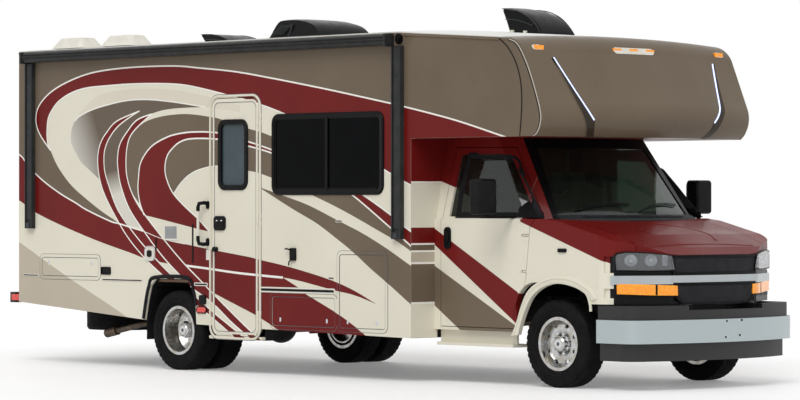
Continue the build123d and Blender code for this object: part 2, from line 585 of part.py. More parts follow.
grille_w = GRILLE_HALF_W - SEAT
grille = nose_band(60, 10, grille_w, FACE_Z + 20 + SEAT, 1080 - SEAT) - nose_band(
    70, 0, grille_w - 22, FACE_Z + 42, 1058)
slat_pitch = (1058 - FACE_Z - 42) / (GRILLE_SLATS + 1)
for slat in range(1, GRILLE_SLATS + 1):
    z = FACE_Z + 42 + slat * slat_pitch
    grille += nose_band(55, 20, grille_w - 10, z - 6, z + 6)
save("grille", grille)
bar_zone = block(FENDER_CORNER[0] - 20, NOSE_X + 60, -HALF_CAB - 30, HALF_CAB + 30, *NOSE_BAR_Z)
bar_skin = (lower_cab(-NOSE_BAR_PROUD) - lower_cab(-SEAT)) & bar_zone
save("nose_bar", max(bar_skin.solids(), key=lambda solid: solid.volume))

lamp_solids = []
for z0, z1 in ((955, 1088), (750, 828)):
    zone = block(FRONT_AXLE_X + 560, NOSE_X - 8, 535 + SEAT, HALF_CAB - 50, z0 + SEAT, z1 - SEAT)
    lens = ((lower_cab(4) - lower_cab(SKIN - 8)) & zone).solids()
    lamp_solids += both(max(lens, key=lambda solid: solid.volume))
save("head_lamps", lamp_solids)

BUMPER_T = 45
BUMPER_FRONT_X = FRONT_AXLE_X + FRONT_OVERHANG
BUMPER_Z = (385, 575)
BUMPER_TOP_Z = 690


def bumper_fill(inset, z0, z1):
    """Everything within the bumper's outer face, moved inwards by inset."""
    front, side, rear = BUMPER_FRONT_X - inset, HALF_CAB + 6 - inset, FRONT_AXLE_X + 490
    shoulder, corner = front - 330, (front - 150, side - 110)
    bend = (shoulder + 120, side - 26)
    outline = (Line((rear, -side), (shoulder, -side)) + ThreePointArc((shoulder, -side), (bend[0], -bend[1]),
                                                                      (corner[0], -corner[1]))
               + ThreePointArc((corner[0], -corner[1]), (front, 0), corner)
               + ThreePointArc(corner, bend, (shoulder, side)) + Polyline((shoulder, side), (rear, side), (rear, -side)))
    return extrude(Pos(0, 0, z0) * make_face(outline), amount=z1 - z0)


def bumper_band(depth, thickness, z0, z1):
    """A bumper section: bowed across the front, wrapping back along each fender."""
    inner = Pos(-5, 0, 0) * bumper_fill(depth + thickness, z0 - 1, z1 + 1)
    return bumper_fill(depth, z0, z1) - inner - bumper_fill(depth + thickness, z0 - 1, z1 + 1)


bumper = bumper_band(0, BUMPER_T, *BUMPER_Z) + bumper_band(20, BUMPER_T, BUMPER_Z[1], BUMPER_TOP_Z)
AIR_DAM_Z = 240
air_dam = bumper_band(45, 30, AIR_DAM_Z, BUMPER_Z[0] - SEAT)
STEP_PAD_HALF_W, STEP_PAD_Z = 455, 652
bumper -= block(BUMPER_FRONT_X - 150, BUMPER_FRONT_X + 20, -STEP_PAD_HALF_W, STEP_PAD_HALF_W, STEP_PAD_Z,
                BUMPER_TOP_Z + 5)
save("front_bumper", bumper, air_dam)


# ---- coach fittings ----
def frame_and_glass(x0, x1, z0, z1, y_out, side, mullions=()):
    """A clamped black frame with its panes, standing 14 mm proud of the wall."""
    y_a, y_b = sorted((y_out - side * 30, y_out + side * 14))
    frame = side_panel(x0 + SEAT, x1 - SEAT, z0 + SEAT, z1 - SEAT, WINDOW_R - SEAT, y_a, y_b)
    frame -= side_panel(x0 + 28, x1 - 28, z0 + 28, z1 - 28, WINDOW_R - 28, y_a - 5, y_b + 5)
    for x in mullions:
        frame += block(x - 16, x + 16, y_a, y_b, z0 + 20, z1 - 20)
    edges = [x0 + 28] + [e for x in mullions for e in (x - 16, x + 16)] + [x1 - 28]
    panes = [block(a + SEAT, b - SEAT, y_out - side * 6, y_out, z0 + 28 + SEAT, z1 - 28 - SEAT)
             for a, b in zip(edges[0::2], edges[1::2])]
    opening = side_panel(x0 + 28 + SEAT, x1 - 28 - SEAT, z0 + 28 + SEAT, z1 - 28 - SEAT, WINDOW_R - 28, y_a, y_b)
    return frame, [pane & opening for pane in panes]


frames, panes = [], []
for x0, x1, z0, z1, side in [BIG_WINDOW + (-1,)] + [window + (1,) for window in LEFT_WINDOWS]:
    frame, glass = frame_and_glass(x0, x1, z0, z1, side * SIDE_Y, side, ((x0 + x1) / 2,))
    frames.append(frame)
    panes += glass
rear_frame, rear_glass = frame_and_glass(ry0, ry1, rz0, rz1, COACH_REAR_X, -1)
turn_to_rear = Rot(0, 0, -90)
frames.append(turn_to_rear * rear_frame)
panes += [turn_to_rear * pane for pane in rear_glass]
save("window_frames", frames)
save("coach_glass", panes)

# entry door with its window
door_y0, door_y1 = -SIDE_Y, -IN_Y
ENTRY_WINDOW = (DOOR_X[0] + 129, DOOR_X[1] - 182, 1672, 2236)
entry_door = side_panel(DOOR_X[0] + GAP, DOOR_X[1] - GAP, DOOR_Z[0] + GAP, DOOR_Z[1] - GAP, DOOR_R - GAP,
                        door_y1, door_y0)
entry_hole = side_panel(*ENTRY_WINDOW, 60, door_y1 + 5, door_y0 - 5)
entry_door -= entry_hole
for z in ENTRY_HINGE_Z:
    entry_door += door_hinge(z)
save("entry_door", entry_door)
entry_pane = side_panel(ENTRY_WINDOW[0] + SEAT, ENTRY_WINDOW[1] - SEAT, ENTRY_WINDOW[2] + SEAT,
                        ENTRY_WINDOW[3] - SEAT, 60 - SEAT, door_y0 + 8, door_y0 + 14)
save("entry_glass", entry_pane)

for name, side, x0, x1, z0, z1 in LIDS:
    lid = lid_solid(x0, x1, z0, z1, side, GAP)
    for hole in lid_pins(x0, x1, z1, side, 6):
        lid -= hole
    save(name, lid)

# awning: case along the roof edge and two folded arms
AWNING_X = (COACH_REAR_X + 160, COACH_FRONT_X - 220)
AWNING_Y = SIDE_Y + SEAT
AWNING_R = 52
case = Pos((AWNING_X[0] + AWNING_X[1]) / 2, -AWNING_Y - AWNING_R, 2912) * Rot(0, 90, 0) * Cylinder(
    AWNING_R, AWNING_X[1] - AWNING_X[0])
ARM_DEPTH = 45
ARM_GROOVE = (12, 18)          # channel lip and the depth of the groove that takes the inner arm
awning_arms = []
for x0, x1, z0 in ((COACH_REAR_X + 147, COACH_REAR_X + 257, 1280), (COACH_FRONT_X - 200, COACH_FRONT_X - 85, 1216)):
    lip, groove = ARM_GROOVE
    arm = block(x0, x1, -AWNING_Y - ARM_DEPTH, -AWNING_Y, z0, 2855)
    arm -= block(x0 + lip, x1 - lip, -AWNING_Y - ARM_DEPTH - 5, -AWNING_Y - ARM_DEPTH + groove, z0 + 60, 2860)
    arm += block(x0 + 2 * lip, x1 - 2 * lip, -AWNING_Y - ARM_DEPTH + 8, -AWNING_Y - 20, z0 + 90, 2850)
    awning_arms.append(arm)

for x in AWNING_X:
    end_cap = block(x - 12, x + 12, -AWNING_Y - 2 * AWNING_R - 8, -AWNING_Y, 2912 - AWNING_R - 8, 2912 + AWNING_R)
    case += fillet(end_cap.edges().filter_by(Axis.X), 14)
save("awning", case, awning_arms)

# roof equipment
def roof_z(y):
    """Height of the crowned roof at a distance from the centre plane."""
    return ROOF_EDGE_Z + SEAT + ROOF_T + ROOF_CROWN * (1 - (y / SIDE_Y) ** 2)


def tapered_cover(x0, x1, y0, y1, base_z, top_z, inset_front, inset_rear, inset_side):
    base = Pos((x0 + x1) / 2, (y0 + y1) / 2, base_z) * RectangleRounded(x1 - x0, y1 - y0, 45)
    tx0, tx1 = x0 + inset_rear, x1 - inset_front
    head = Pos((tx0 + tx1) / 2, (y0 + y1) / 2, top_z) * RectangleRounded(tx1 - tx0, y1 - y0 - 2 * inset_side, 45)
    return loft([base, head], ruled=True)


ROOF_TOP = roof_z(0) + SEAT


def hooded_vent(x0, x1, half_w, height, lean):
    """Rain cover of a roof vent: an upright rear face that leans back, and a top that curves down to the front."""
    length, top = x1 - x0, ROOF_TOP + height
    crest, toe = (x0 + 0.3 * length, top), (x1, ROOF_TOP + 0.12 * height)
    plane = Plane(origin=(0, -half_w, 0), x_dir=(1, 0, 0), z_dir=(0, -1, 0))
    outline = (Polyline((x1, ROOF_TOP), (x0 + lean, ROOF_TOP), (x0, top), crest)
               + ThreePointArc(crest, (x0 + 0.78 * length, ROOF_TOP + 0.72 * height), toe)
               + Line(toe, (x1, ROOF_TOP)))
    hood_shape = extrude(plane * make_face(outline), amount=2 * half_w, dir=(0, 1, 0))
    flange = block(x0 + lean, x1 + 15, -half_w - 20, half_w + 20, ROOF_TOP, ROOF_TOP + 18)
    return hood_shape + flange


AC_X = (COACH_FRONT_X - 3020, COACH_FRONT_X - 2330)
AC_HALF_W, AC_H = 350, 285
AC_CHAMFER = 45
# side view of the air conditioner: (distance from its rear or front end, height over the roof)
AC_REAR_SIDE = [(10, 0), (10, 60), (180, AC_H), (380, AC_H - 8)]
AC_FRONT_SIDE = [(-110, AC_H - 85), (-30, AC_H - 165), (0, 50), (0, 0)]
ac_profile = [(AC_X[0] + x, ROOF_TOP + z) for x, z in AC_REAR_SIDE]
ac_profile += [(AC_X[1] + x, ROOF_TOP + z) for x, z in AC_FRONT_SIDE]
air_conditioner = side_prism(ac_profile, -AC_HALF_W, AC_HALF_W)
ac_sides = [edge for edge in air_conditioner.edges().filter_by(GeomType.LINE)
            if abs(abs(edge.center().Y) - AC_HALF_W) < 1 and edge.center().Z > ROOF_TOP + 55]
air_conditioner = chamfer(ac_sides, AC_CHAMFER)
VENT_L, VENT_HALF_W = 510, 205
REAR_VENT_X, REAR_VENT_H = COACH_FRONT_X - 4180, 190
FRONT_VENT_X, FRONT_VENT_H = COACH_FRONT_X - 50, 272
roof_fall = math.degrees(math.atan2(ROOF_EDGE_Z - CAP_SEAM[0][1], CAP_SEAM[0][0] + SEAM_SHIFT - ROOF_BREAK_X))
rear_vent = hooded_vent(REAR_VENT_X, REAR_VENT_X + VENT_L, VENT_HALF_W, REAR_VENT_H, 30)
front_vent = hooded_vent(FRONT_VENT_X, FRONT_VENT_X + VENT_L, VENT_HALF_W, FRONT_VENT_H, 40)
front_vent = front_vent.rotate(Axis((ROOF_BREAK_X, 0, ROOF_TOP), (0, 1, 0)), roof_fall)
vents = [rear_vent, front_vent]
save("roof_units", air_conditioner, vents)
DOME_Y = 483 - SIDE_Y
domes = []
for x in (COACH_FRONT_X - 5150, COACH_FRONT_X - 4400):
    base_z = roof_z(DOME_Y + 150) + SEAT
    domes.append(tapered_cover(x - 240, x + 240, DOME_Y - 150, DOME_Y + 150, base_z, base_z + 100, 70, 70, 60))
save("roof_domes", domes)


# ---- lamps on the coach ----
CAP_LAMP_Z = 2795
cap_solid = cap_body(0)
cap_lamps = []
for y in (-1115, -205, 0, 205, 1115):
    top = 2894 + ROOF_CROWN * (1 - (y / SIDE_Y) ** 2)
    x = SEAM_SHIFT + 2900 + 0.3 * CAP_BOW * (1 - (y / SIDE_Y) ** 2)
    lamp = (block(x - 60, x + 42, y - 50, y + 50, CAP_LAMP_Z - 12, CAP_LAMP_Z + 25) - cap_solid).solids()
    cap_lamps.append(max(lamp, key=lambda solid: solid.volume))
save("cap_lamps", cap_lamps)
TAIL_LAMP = (32, 140, 900, 1260)       # thickness, width, bottom and top height
TAIL_LAMP_Y = SIDE_Y - 223
tails = []
for side in (-1, 1):
    thick, width, z0, z1 = TAIL_LAMP
    y0, y1 = sorted((side * TAIL_LAMP_Y, side * (TAIL_LAMP_Y + width)))
    tails.append(block(COACH_REAR_X - thick, COACH_REAR_X - SEAT, y0, y1, z0, z1))
save("tail_lamps", tails)


# ---- chassis ----
RAIL_BOTTOM_Z = RAIL_TOP_Z - RAIL_H
RAIL_FRONT_X = BUMPER_FRONT_X
RAIL_REAR_X = COACH_REAR_X - 60
CROSS_T = 70
CROSSMEMBERS = [FRONT_AXLE_X + 760, FRONT_AXLE_X - 800, COACH_FRONT_X - 250, -150, REAR_AXLE_X + 420,
                REAR_AXLE_X - 620, COACH_REAR_X + 150]
OUTRIGGERS = [COACH_FRONT_X - 250, 800, -150, REAR_AXLE_X + 420, REAR_AXLE_X - 650, COACH_REAR_X + 150]
OUTRIGGER_END = IN_Y - BOX_DEPTH - 40
SPRING_Y = (RAIL_Y + RAIL_W / 2 + 12, RAIL_Y + RAIL_W / 2 + 82)
SPRING_REACH = 640
JACK_X, JACK_PAD = 300, (140, RAIL_W, 8)          # jacking pad under each rail: length, width, thickness

# the rails: channels open to the middle, with the hangers of the rear springs and a jacking pad
beyond = block(FRONT_AXLE_X + 600, BUMPER_FRONT_X + 60, -RAIL_Y - 60, RAIL_Y + 60, RAIL_BOTTOM_Z - 5, RAIL_TOP_Z + 5)
beyond -= bumper_fill(BUMPER_T + SEAT, RAIL_BOTTOM_Z - 5, BUMPER_Z[1])
beyond -= bumper_fill(20 + BUMPER_T + SEAT, BUMPER_Z[1], RAIL_TOP_Z + 5)
rail = block(RAIL_REAR_X, RAIL_FRONT_X, RAIL_Y - RAIL_W / 2, RAIL_Y + RAIL_W / 2, RAIL_BOTTOM_Z, RAIL_TOP_Z)
rail -= block(RAIL_REAR_X - 5, RAIL_FRONT_X + 5, RAIL_Y - RAIL_W / 2 - 5, RAIL_Y + RAIL_W / 2 - RAIL_WEB,
              RAIL_BOTTOM_Z + RAIL_WEB, RAIL_TOP_Z - RAIL_WEB)
rail -= beyond
for x in (REAR_AXLE_X - SPRING_REACH, REAR_AXLE_X + SPRING_REACH):
    rail += block(x - 30, x + 30, RAIL_Y + RAIL_W / 2, SPRING_Y[1], RAIL_BOTTOM_Z + 5, RAIL_BOTTOM_Z + 75)
rail += block(JACK_X - JACK_PAD[0] / 2, JACK_X + JACK_PAD[0] / 2, RAIL_Y - JACK_PAD[1] / 2, RAIL_Y + JACK_PAD[1] / 2,
              RAIL_BOTTOM_Z - JACK_PAD[2], RAIL_BOTTOM_Z)
save("chassis_frame", both(rail))

# members across the rails: crossmembers in the channels, floor joists on top, mounts of the cab, hitch bar
inner_y = RAIL_Y + RAIL_W / 2 - RAIL_WEB
HITCH_R = 12.7
HITCH_T = 14
HITCH_X = COACH_REAR_X - 165
HITCH_Z = RAIL_BOTTOM_Z - 60
members = []
for x in CROSSMEMBERS:
    members.append(block(x - CROSS_T / 2, x + CROSS_T / 2, -inner_y + SEAT, inner_y - SEAT, RAIL_TOP_Z - 90,
                         RAIL_TOP_Z - 20))
for x in OUTRIGGERS:
    members.append(block(x - 25, x + 25, -OUTRIGGER_END, OUTRIGGER_END, RAIL_TOP_Z + SEAT, COACH_FLOOR_UNDER_Z - SEAT))
for x in (FRONT_AXLE_X - 600, COACH_FRONT_X + 150):
    members += both(upright_cylinder(x, RAIL_Y, RAIL_TOP_Z + SEAT, CAB_FLOOR_Z - CAB_FLOOR_T - SEAT, 28))
hitch = block(COACH_REAR_X - 40, COACH_REAR_X + 30, -RAIL_Y - 30, RAIL_Y + 30, HITCH_Z, RAIL_BOTTOM_Z - SEAT)
hitch += block(HITCH_X - 45, COACH_REAR_X - 30, -45, 45, HITCH_Z, HITCH_Z + HITCH_T)
hitch -= upright_cylinder(HITCH_X, 0, HITCH_Z - 5, HITCH_Z + HITCH_T + 5, HITCH_R)
members.append(hitch)
save("crossmembers", members)

# rear bumper: a channel on two arms
REAR_BUMPER_Z = (565, 665)
rear_bumper = block(COACH_REAR_X - 215, COACH_REAR_X - 135, -1225, 1225, *REAR_BUMPER_Z)
rear_bumper -= block(COACH_REAR_X - 207, COACH_REAR_X - 130, -1217, 1217, REAR_BUMPER_Z[0] + 8, REAR_BUMPER_Z[1] - 8)
for side in (-1, 1):
    rear_bumper += block(COACH_REAR_X - 210, RAIL_REAR_X - SEAT, side * RAIL_Y - 25, side * RAIL_Y + 25,
                         REAR_BUMPER_Z[0] + 8, REAR_BUMPER_Z[1] - 8)
save("rear_bumper", rear_bumper)

# engine and gearbox as plain blocks on two mounts
ENGINE_X = (FRONT_AXLE_X - 380, FRONT_AXLE_X + 480)
engine = block(*ENGINE_X, -290, 290, 500, 1050)
engine += block(COACH_FRONT_X + 300, ENGINE_X[0] + 5, -140, 140, 430, 600)
engine += block(FRONT_AXLE_X - 60, FRONT_AXLE_X + 60, -RAIL_Y - 25, RAIL_Y + 25, RAIL_TOP_Z + SEAT, RAIL_TOP_Z + 40)
save("engine_block", engine)

# exhaust: pipe from the engine, muffler, and a tail pipe that leaves behind the right rear wheels
PIPE_R, MUFFLER_R = 30, 88
EXHAUST_Y, EXHAUST_Z = -265, 462
MUFFLER_X = (-450, 150)
TAIL_BEND_X, TAIL_TIP = REAR_AXLE_X - 787, (REAR_AXLE_X - 1348, -1000, 293)
BEND_R = 110
exhaust_route = [(ENGINE_X[0] - SEAT, EXHAUST_Y, 545), (ENGINE_X[0] - 350, EXHAUST_Y, 545),
                 (ENGINE_X[0] - 900, EXHAUST_Y, EXHAUST_Z), (TAIL_BEND_X, EXHAUST_Y, EXHAUST_Z),
                 (TAIL_BEND_X, TAIL_TIP[1], 400), TAIL_TIP]
route = FilletPolyline(*exhaust_route, radius=BEND_R)
route_start = Plane(origin=route @ 0, z_dir=route % 0)
exhaust = sweep(route_start * Circle(PIPE_R), path=route)
exhaust += Pos(sum(MUFFLER_X) / 2, EXHAUST_Y, EXHAUST_Z) * Rot(0, 90, 0) * Cylinder(MUFFLER_R,
                                                                                    MUFFLER_X[1] - MUFFLER_X[0])
for x in (CROSSMEMBERS[3], CROSSMEMBERS[5]):
    exhaust += block(x - 12, x + 12, EXHAUST_Y - 15, EXHAUST_Y + 15, EXHAUST_Z, RAIL_TOP_Z - 90 - SEAT)
tip_run = Vector(*TAIL_TIP) - Vector(TAIL_BEND_X, TAIL_TIP[1], 400)
tip_plane = Plane(origin=Vector(*TAIL_TIP) - tip_run.normalized() * 160, z_dir=tip_run)
exhaust += extrude(tip_plane * Circle(PIPE_R + 12), amount=160)
exhaust -= extrude(tip_plane * Circle(PIPE_R + 9), amount=180).moved(Location(tip_run.normalized() * 20))
save("exhaust", exhaust)

# front axle beam with kingpin bosses, and the steering knuckles
KINGPIN_Y = 700
KINGPIN_R = 16
BOSS_R = 30
BOSS_Z = (WHEEL_Z - 50, WHEEL_Z + 50)
beam = block(FRONT_AXLE_X - 60, FRONT_AXLE_X + 60, -560, 560, WHEEL_Z - 40, WHEEL_Z + 60)
for side in (-1, 1):
    y0, y1 = sorted((side * 550, side * KINGPIN_Y))
    beam += block(FRONT_AXLE_X - 26, FRONT_AXLE_X + 26, y0, y1, *BOSS_Z)
    beam += upright_cylinder(FRONT_AXLE_X, side * KINGPIN_Y, *BOSS_Z, BOSS_R)
    beam -= upright_cylinder(FRONT_AXLE_X, side * KINGPIN_Y, BOSS_Z[0] - 5, BOSS_Z[1] + 5, KINGPIN_R + RUN_FIT)
    beam += block(FRONT_AXLE_X - 50, FRONT_AXLE_X + 50, side * RAIL_Y - 28, side * RAIL_Y + 28, WHEEL_Z + 55,
                  RAIL_BOTTOM_Z - SEAT)
PLATE_Y = (KINGPIN_Y + 38, KINGPIN_Y + 62)
FRONT_SPINDLE_END = FRONT_TYRE_Y + 68
knuckle = upright_cylinder(FRONT_AXLE_X, KINGPIN_Y, BOSS_Z[0] - 34, BOSS_Z[1] + 34, KINGPIN_R)
for z0, z1 in ((BOSS_Z[0] - 34, BOSS_Z[0] - 1), (BOSS_Z[1] + 1, BOSS_Z[1] + 34)):
    knuckle += upright_cylinder(FRONT_AXLE_X, KINGPIN_Y, z0, z1, BOSS_R)
    knuckle += block(FRONT_AXLE_X - 28, FRONT_AXLE_X + 28, KINGPIN_Y, PLATE_Y[1], z0, z1)
knuckle += block(FRONT_AXLE_X - 58, FRONT_AXLE_X + 58, *PLATE_Y, WHEEL_Z - 84, WHEEL_Z + 84)
knuckle += cross_cylinder(FRONT_AXLE_X, 0, WHEEL_Z, SPINDLE_R, PLATE_Y[1] - 2, FRONT_SPINDLE_END)
save("knuckle_left", knuckle)
save("knuckle_right", mirrored(knuckle))

# rear axle: tube, differential, drive shaft, springs
AXLE_R = 55
REAR_SHAFT_R = 35
REAR_SHAFT_END = REAR_OUTER_Y + 10
rear_axle = cross_cylinder(REAR_AXLE_X, 0, WHEEL_Z, AXLE_R, -690, 690)
rear_axle += cross_cylinder(REAR_AXLE_X, 0, WHEEL_Z, REAR_SHAFT_R, -REAR_SHAFT_END, REAR_SHAFT_END)
rear_axle += Pos(REAR_AXLE_X, 0, WHEEL_Z) * Sphere(150)
shaft_x = (REAR_AXLE_X + 100, COACH_FRONT_X + 292)
shaft_z = (WHEEL_Z + 20, 510)
shaft_len = math.hypot(shaft_x[1] - shaft_x[0], shaft_z[1] - shaft_z[0])
shaft_pitch = math.degrees(math.atan2(shaft_z[1] - shaft_z[0], shaft_x[1] - shaft_x[0]))
rear_axle += Pos((shaft_x[0] + shaft_x[1]) / 2, 0, (shaft_z[0] + shaft_z[1]) / 2) * Rot(0, 90 - shaft_pitch, 0) * Cylinder(
    40, shaft_len)
SPRING_T = 44
for side in (-1, 1):
    y0, y1 = sorted((side * SPRING_Y[0], side * (SPRING_Y[1] - 6)))
    end_z = RAIL_BOTTOM_Z + 5 - SEAT
    sag = WHEEL_Z + AXLE_R + SPRING_T
    leaf = make_face(
        ThreePointArc((REAR_AXLE_X - SPRING_REACH, end_z), (REAR_AXLE_X, sag), (REAR_AXLE_X + SPRING_REACH, end_z))
        + Line((REAR_AXLE_X + SPRING_REACH, end_z), (REAR_AXLE_X + SPRING_REACH, end_z - 14))
        + ThreePointArc((REAR_AXLE_X + SPRING_REACH, end_z - 14), (REAR_AXLE_X, sag - SPRING_T),
                        (REAR_AXLE_X - SPRING_REACH, end_z - 14))
        + Line((REAR_AXLE_X - SPRING_REACH, end_z - 14), (REAR_AXLE_X - SPRING_REACH, end_z)))
    leaf_plane = Plane(origin=(0, y0, 0), x_dir=(1, 0, 0), z_dir=(0, -1, 0))
    rear_axle += extrude(leaf_plane * leaf, amount=y1 - y0, dir=(0, 1, 0))
    rear_axle += block(REAR_AXLE_X - 70, REAR_AXLE_X + 70, y0, y1, WHEEL_Z, sag - 10)
save("axles", beam, rear_axle)

# ---- wheels ----
TREAD_HALF_W = 86
TYRE_HALF = [(BEAD_R, 84), (225, 86), (246, 101), (300, TYRE_W / 2), (342, 107), (TYRE_R, TREAD_HALF_W)]   # (radius, outward)
TYRE_SECTION = [(r, -t) for r, t in TYRE_HALF] + list(reversed(TYRE_HALF))
BARREL = BEAD_R - SEAT
FLANGE_R = 223


def tyre(x, y):
    return turned_about_y(TYRE_SECTION, x, y, WHEEL_Z, 1)


def barrel():
    """Section of a rim barrel with its two flanges."""
    half, well = RIM_W / 2, BARREL - RIM_SECTION
    return [(well, -half - 7), (FLANGE_R, -half - 7), (FLANGE_R, -half + 0.5), (BARREL, -half + 0.5),
            (BARREL, half - 0.5), (FLANGE_R, half - 0.5), (FLANGE_R, half + 7), (well, half + 7)]


def front_rim(side):
    """Rim with a disc that bulges outwards round the hub."""
    bore, tip = SPINDLE_R + RUN_FIT, FRONT_SPINDLE_END - FRONT_TYRE_Y + 3
    disc = [(bore, -78), (HUB_R, -78), (HUB_R, 22), (120, 44), (160, 36), (198, 12), (198, 26), (160, 50), (118, 58),
            (74, 36), (62, 40), (62, 80), (48, 92), (0, 92), (0, tip), (bore, tip)]
    y = side * FRONT_TYRE_Y
    return (turned_about_y(barrel(), FRONT_AXLE_X, y, WHEEL_Z, side)
            + turned_about_y(disc, FRONT_AXLE_X, y, WHEEL_Z, side))


HAND_HOLES = 8


def cut_hand_holes(rim, x, side, radius, pitch_r, y0, y1):
    """Round holes through a wheel's disc, evenly spaced on one circle."""
    for hole in range(HAND_HOLES):
        angle = math.radians(360 / HAND_HOLES * (hole + 0.5))
        hx, hz = x + pitch_r * math.cos(angle), WHEEL_Z + pitch_r * math.sin(angle)
        rim -= cross_cylinder(hx, 0, hz, radius, *sorted((side * y0, side * y1)))
    return rim


MOUNT_Y = REAR_OUTER_Y - TWIN_SPACING / 2      # the twin discs are bolted back to back on this plane
DISC_T = 12


def rear_rims(side):
    """Twin rims back to back on one hub, with the brake drum inside the inner one."""
    rims = []
    for centre, way in ((REAR_OUTER_Y, 1), (REAR_OUTER_Y - TWIN_SPACING, -1)):
        # the disc starts on the mounting plane and dishes out to meet its barrel
        seat = MOUNT_Y - centre
        disc = [(60, seat), (118, seat), (158, seat + way * DISC_T), (198, seat + way * 62),
                (198, seat + way * 78), (150, seat + way * 26), (116, seat + way * DISC_T), (60, seat + way * DISC_T)]
        rims.append(turned_about_y(barrel(), REAR_AXLE_X, side * centre, WHEEL_Z, side))
        rims.append(turned_about_y(disc, REAR_AXLE_X, side * centre, WHEEL_Z, side))
    bore, hub_end = REAR_SHAFT_R + RUN_FIT, REAR_SHAFT_END + 3 - MOUNT_Y
    hub = [(bore, -230), (62, -230), (62, -150), (160, -150), (160, -240), (172, -240), (172, -138),
           (74, -130), (64, -10), (64, 120), (60, hub_end + 22), (48, hub_end + 34), (0, hub_end + 34),
           (0, hub_end), (bore, hub_end)]
    rims.append(turned_about_y(hub, REAR_AXLE_X, side * MOUNT_Y, WHEEL_Z, side))
    return rims[0] + rims[1:]


for label, side in (("left", 1), ("right", -1)):
    save(f"front_rim_{label}", cut_hand_holes(front_rim(side), FRONT_AXLE_X, side, 20, 160, FRONT_TYRE_Y + 5,
                                              FRONT_TYRE_Y + 70))
    save(f"front_tyre_{label}", tyre(FRONT_AXLE_X, side * FRONT_TYRE_Y))
    save(f"rear_rims_{label}", cut_hand_holes(rear_rims(side), REAR_AXLE_X, side, 22, 148, MOUNT_Y - 60, MOUNT_Y + 60))
    save(f"rear_tyres_{label}", [tyre(REAR_AXLE_X, side * y) for y in (REAR_OUTER_Y, REAR_OUTER_Y - TWIN_SPACING)])

# ---- underbody ----
SPARE_X, SPARE_Y = COACH_REAR_X + 790, -620
spare_top = RAIL_BOTTOM_Z - SEAT
spare_section = [(90, -95), (200, -70), (215, -100), (250, -108), (342, -104), (TYRE_R - 2, -80), (TYRE_R - 2, 80),
                 (342, 104), (250, 108), (215, 100), (200, -50), (90, -70)]
spare_face = make_face(Polyline(*[(r, 0, t) for r, t in spare_section], close=True))
save("spare_wheel", Pos(SPARE_X, SPARE_Y, spare_top - 108) * revolve(spare_face, Axis.Z))
tank = block(COACH_REAR_X + 250, REAR_AXLE_X - 720, -360, 360, RAIL_TOP_Z - 95, COACH_FLOOR_UNDER_Z - SEAT)
save("tanks", tank)

# running boards: a step under each cab door, on a riser below the rocker's flange
BOARD_X = (COACH_FRONT_X + 20, FRONT_AXLE_X - 470)
BOARD_Y, BOARD_Z, BOARD_T = (805, 998), 318, 26
board = block(*BOARD_X, *BOARD_Y, BOARD_Z, BOARD_Z + BOARD_T)
board += block(*BOARD_X, floor_y - 15, floor_y + 5, BOARD_Z, SILL_Z - SEAT)
save("running_boards", both(board))

# ---- mirrors on the cab doors ----
MIRROR_X, MIRROR_Y = FRONT_AXLE_X - 480, 1342
head = Pos(MIRROR_X, MIRROR_Y, 1575) * fillet(Box(140, 206, 296).edges(), 30)
arm = block(MIRROR_X - 25, MIRROR_X + 25, 930, MIRROR_Y, 1396, 1416) - glasshouse(-SEAT)
arm += block(MIRROR_X - 25, MIRROR_X + 25, MIRROR_Y - 40, MIRROR_Y, 1396, 1432)
mirror_left = head + arm
save("mirror_left", mirror_left)
save("mirror_right", mirrored(mirror_left))

# ---- inside the cab ----
SEAT_X, SEAT_Y, SEAT_W, SEAT_Z = COACH_FRONT_X + 110, 470, 500, 1100
BACK_LEAN, BACK_T, BACK_H = 80, 110, 560
seat_y = (SEAT_Y - SEAT_W / 2, SEAT_Y + SEAT_W / 2)
seat = fillet(block(SEAT_X, SEAT_X + 490, *seat_y, SEAT_Z - 120, SEAT_Z).edges().filter_by(Axis.Y), 35)
seat += block(SEAT_X + 100, SEAT_X + 400, seat_y[0] + 70, seat_y[1] - 70, CAB_FLOOR_Z + SEAT, SEAT_Z - 110)
back_x, back_z = SEAT_X - 10, SEAT_Z - 80
seat += side_prism([(back_x, back_z), (back_x + BACK_T, back_z), (back_x + BACK_T - BACK_LEAN, back_z + BACK_H),
                    (back_x - BACK_LEAN, back_z + BACK_H)], seat_y[0] + 15, seat_y[1] - 15)
rest_x, rest_z = back_x - BACK_LEAN, back_z + BACK_H + 45
for y in (-70, 70):
    seat += upright_cylinder(rest_x + 50, SEAT_Y + y, rest_z - 60, rest_z + 20, 7)
seat += fillet(block(rest_x + 5, rest_x + 95, SEAT_Y - 130, SEAT_Y + 130, rest_z, rest_z + 170).edges(), 28)
save("cab_seats", both(seat))
DASH_REAR_X = FRONT_AXLE_X - 640
dash = side_prism([(DASH_REAR_X, 1060), (DASH_REAR_X + 30, 1330), (DASH_REAR_X + 150, 1382),
                   (FRONT_AXLE_X - 160, 1385), (FRONT_AXLE_X - 160, BELT_Z - 60 + SEAT),
                   (FRONT_AXLE_X - 460 - SEAT, BELT_Z - 60 + SEAT), (FRONT_AXLE_X - 460 - SEAT, 1000),
                   (DASH_REAR_X + 120, 1000)], -800, 800)
save("dashboard", dash)
WHEEL_TILT = math.radians(28)
WHEEL_RING_R, WHEEL_GRIP_R = 190, 14
wheel_normal = (-math.cos(WHEEL_TILT), 0, math.sin(WHEEL_TILT))
wheel_plane = Plane(origin=(DASH_REAR_X - 130, SEAT_Y, 1310), x_dir=(0, 1, 0), z_dir=wheel_normal)
grip = Plane.XZ * Pos(WHEEL_RING_R, 0, 0) * RegularPolygon(WHEEL_GRIP_R, 8)
steering = revolve(grip, Axis.Z) + Box(2 * WHEEL_RING_R, 26, 14) + Cylinder(40, 26)
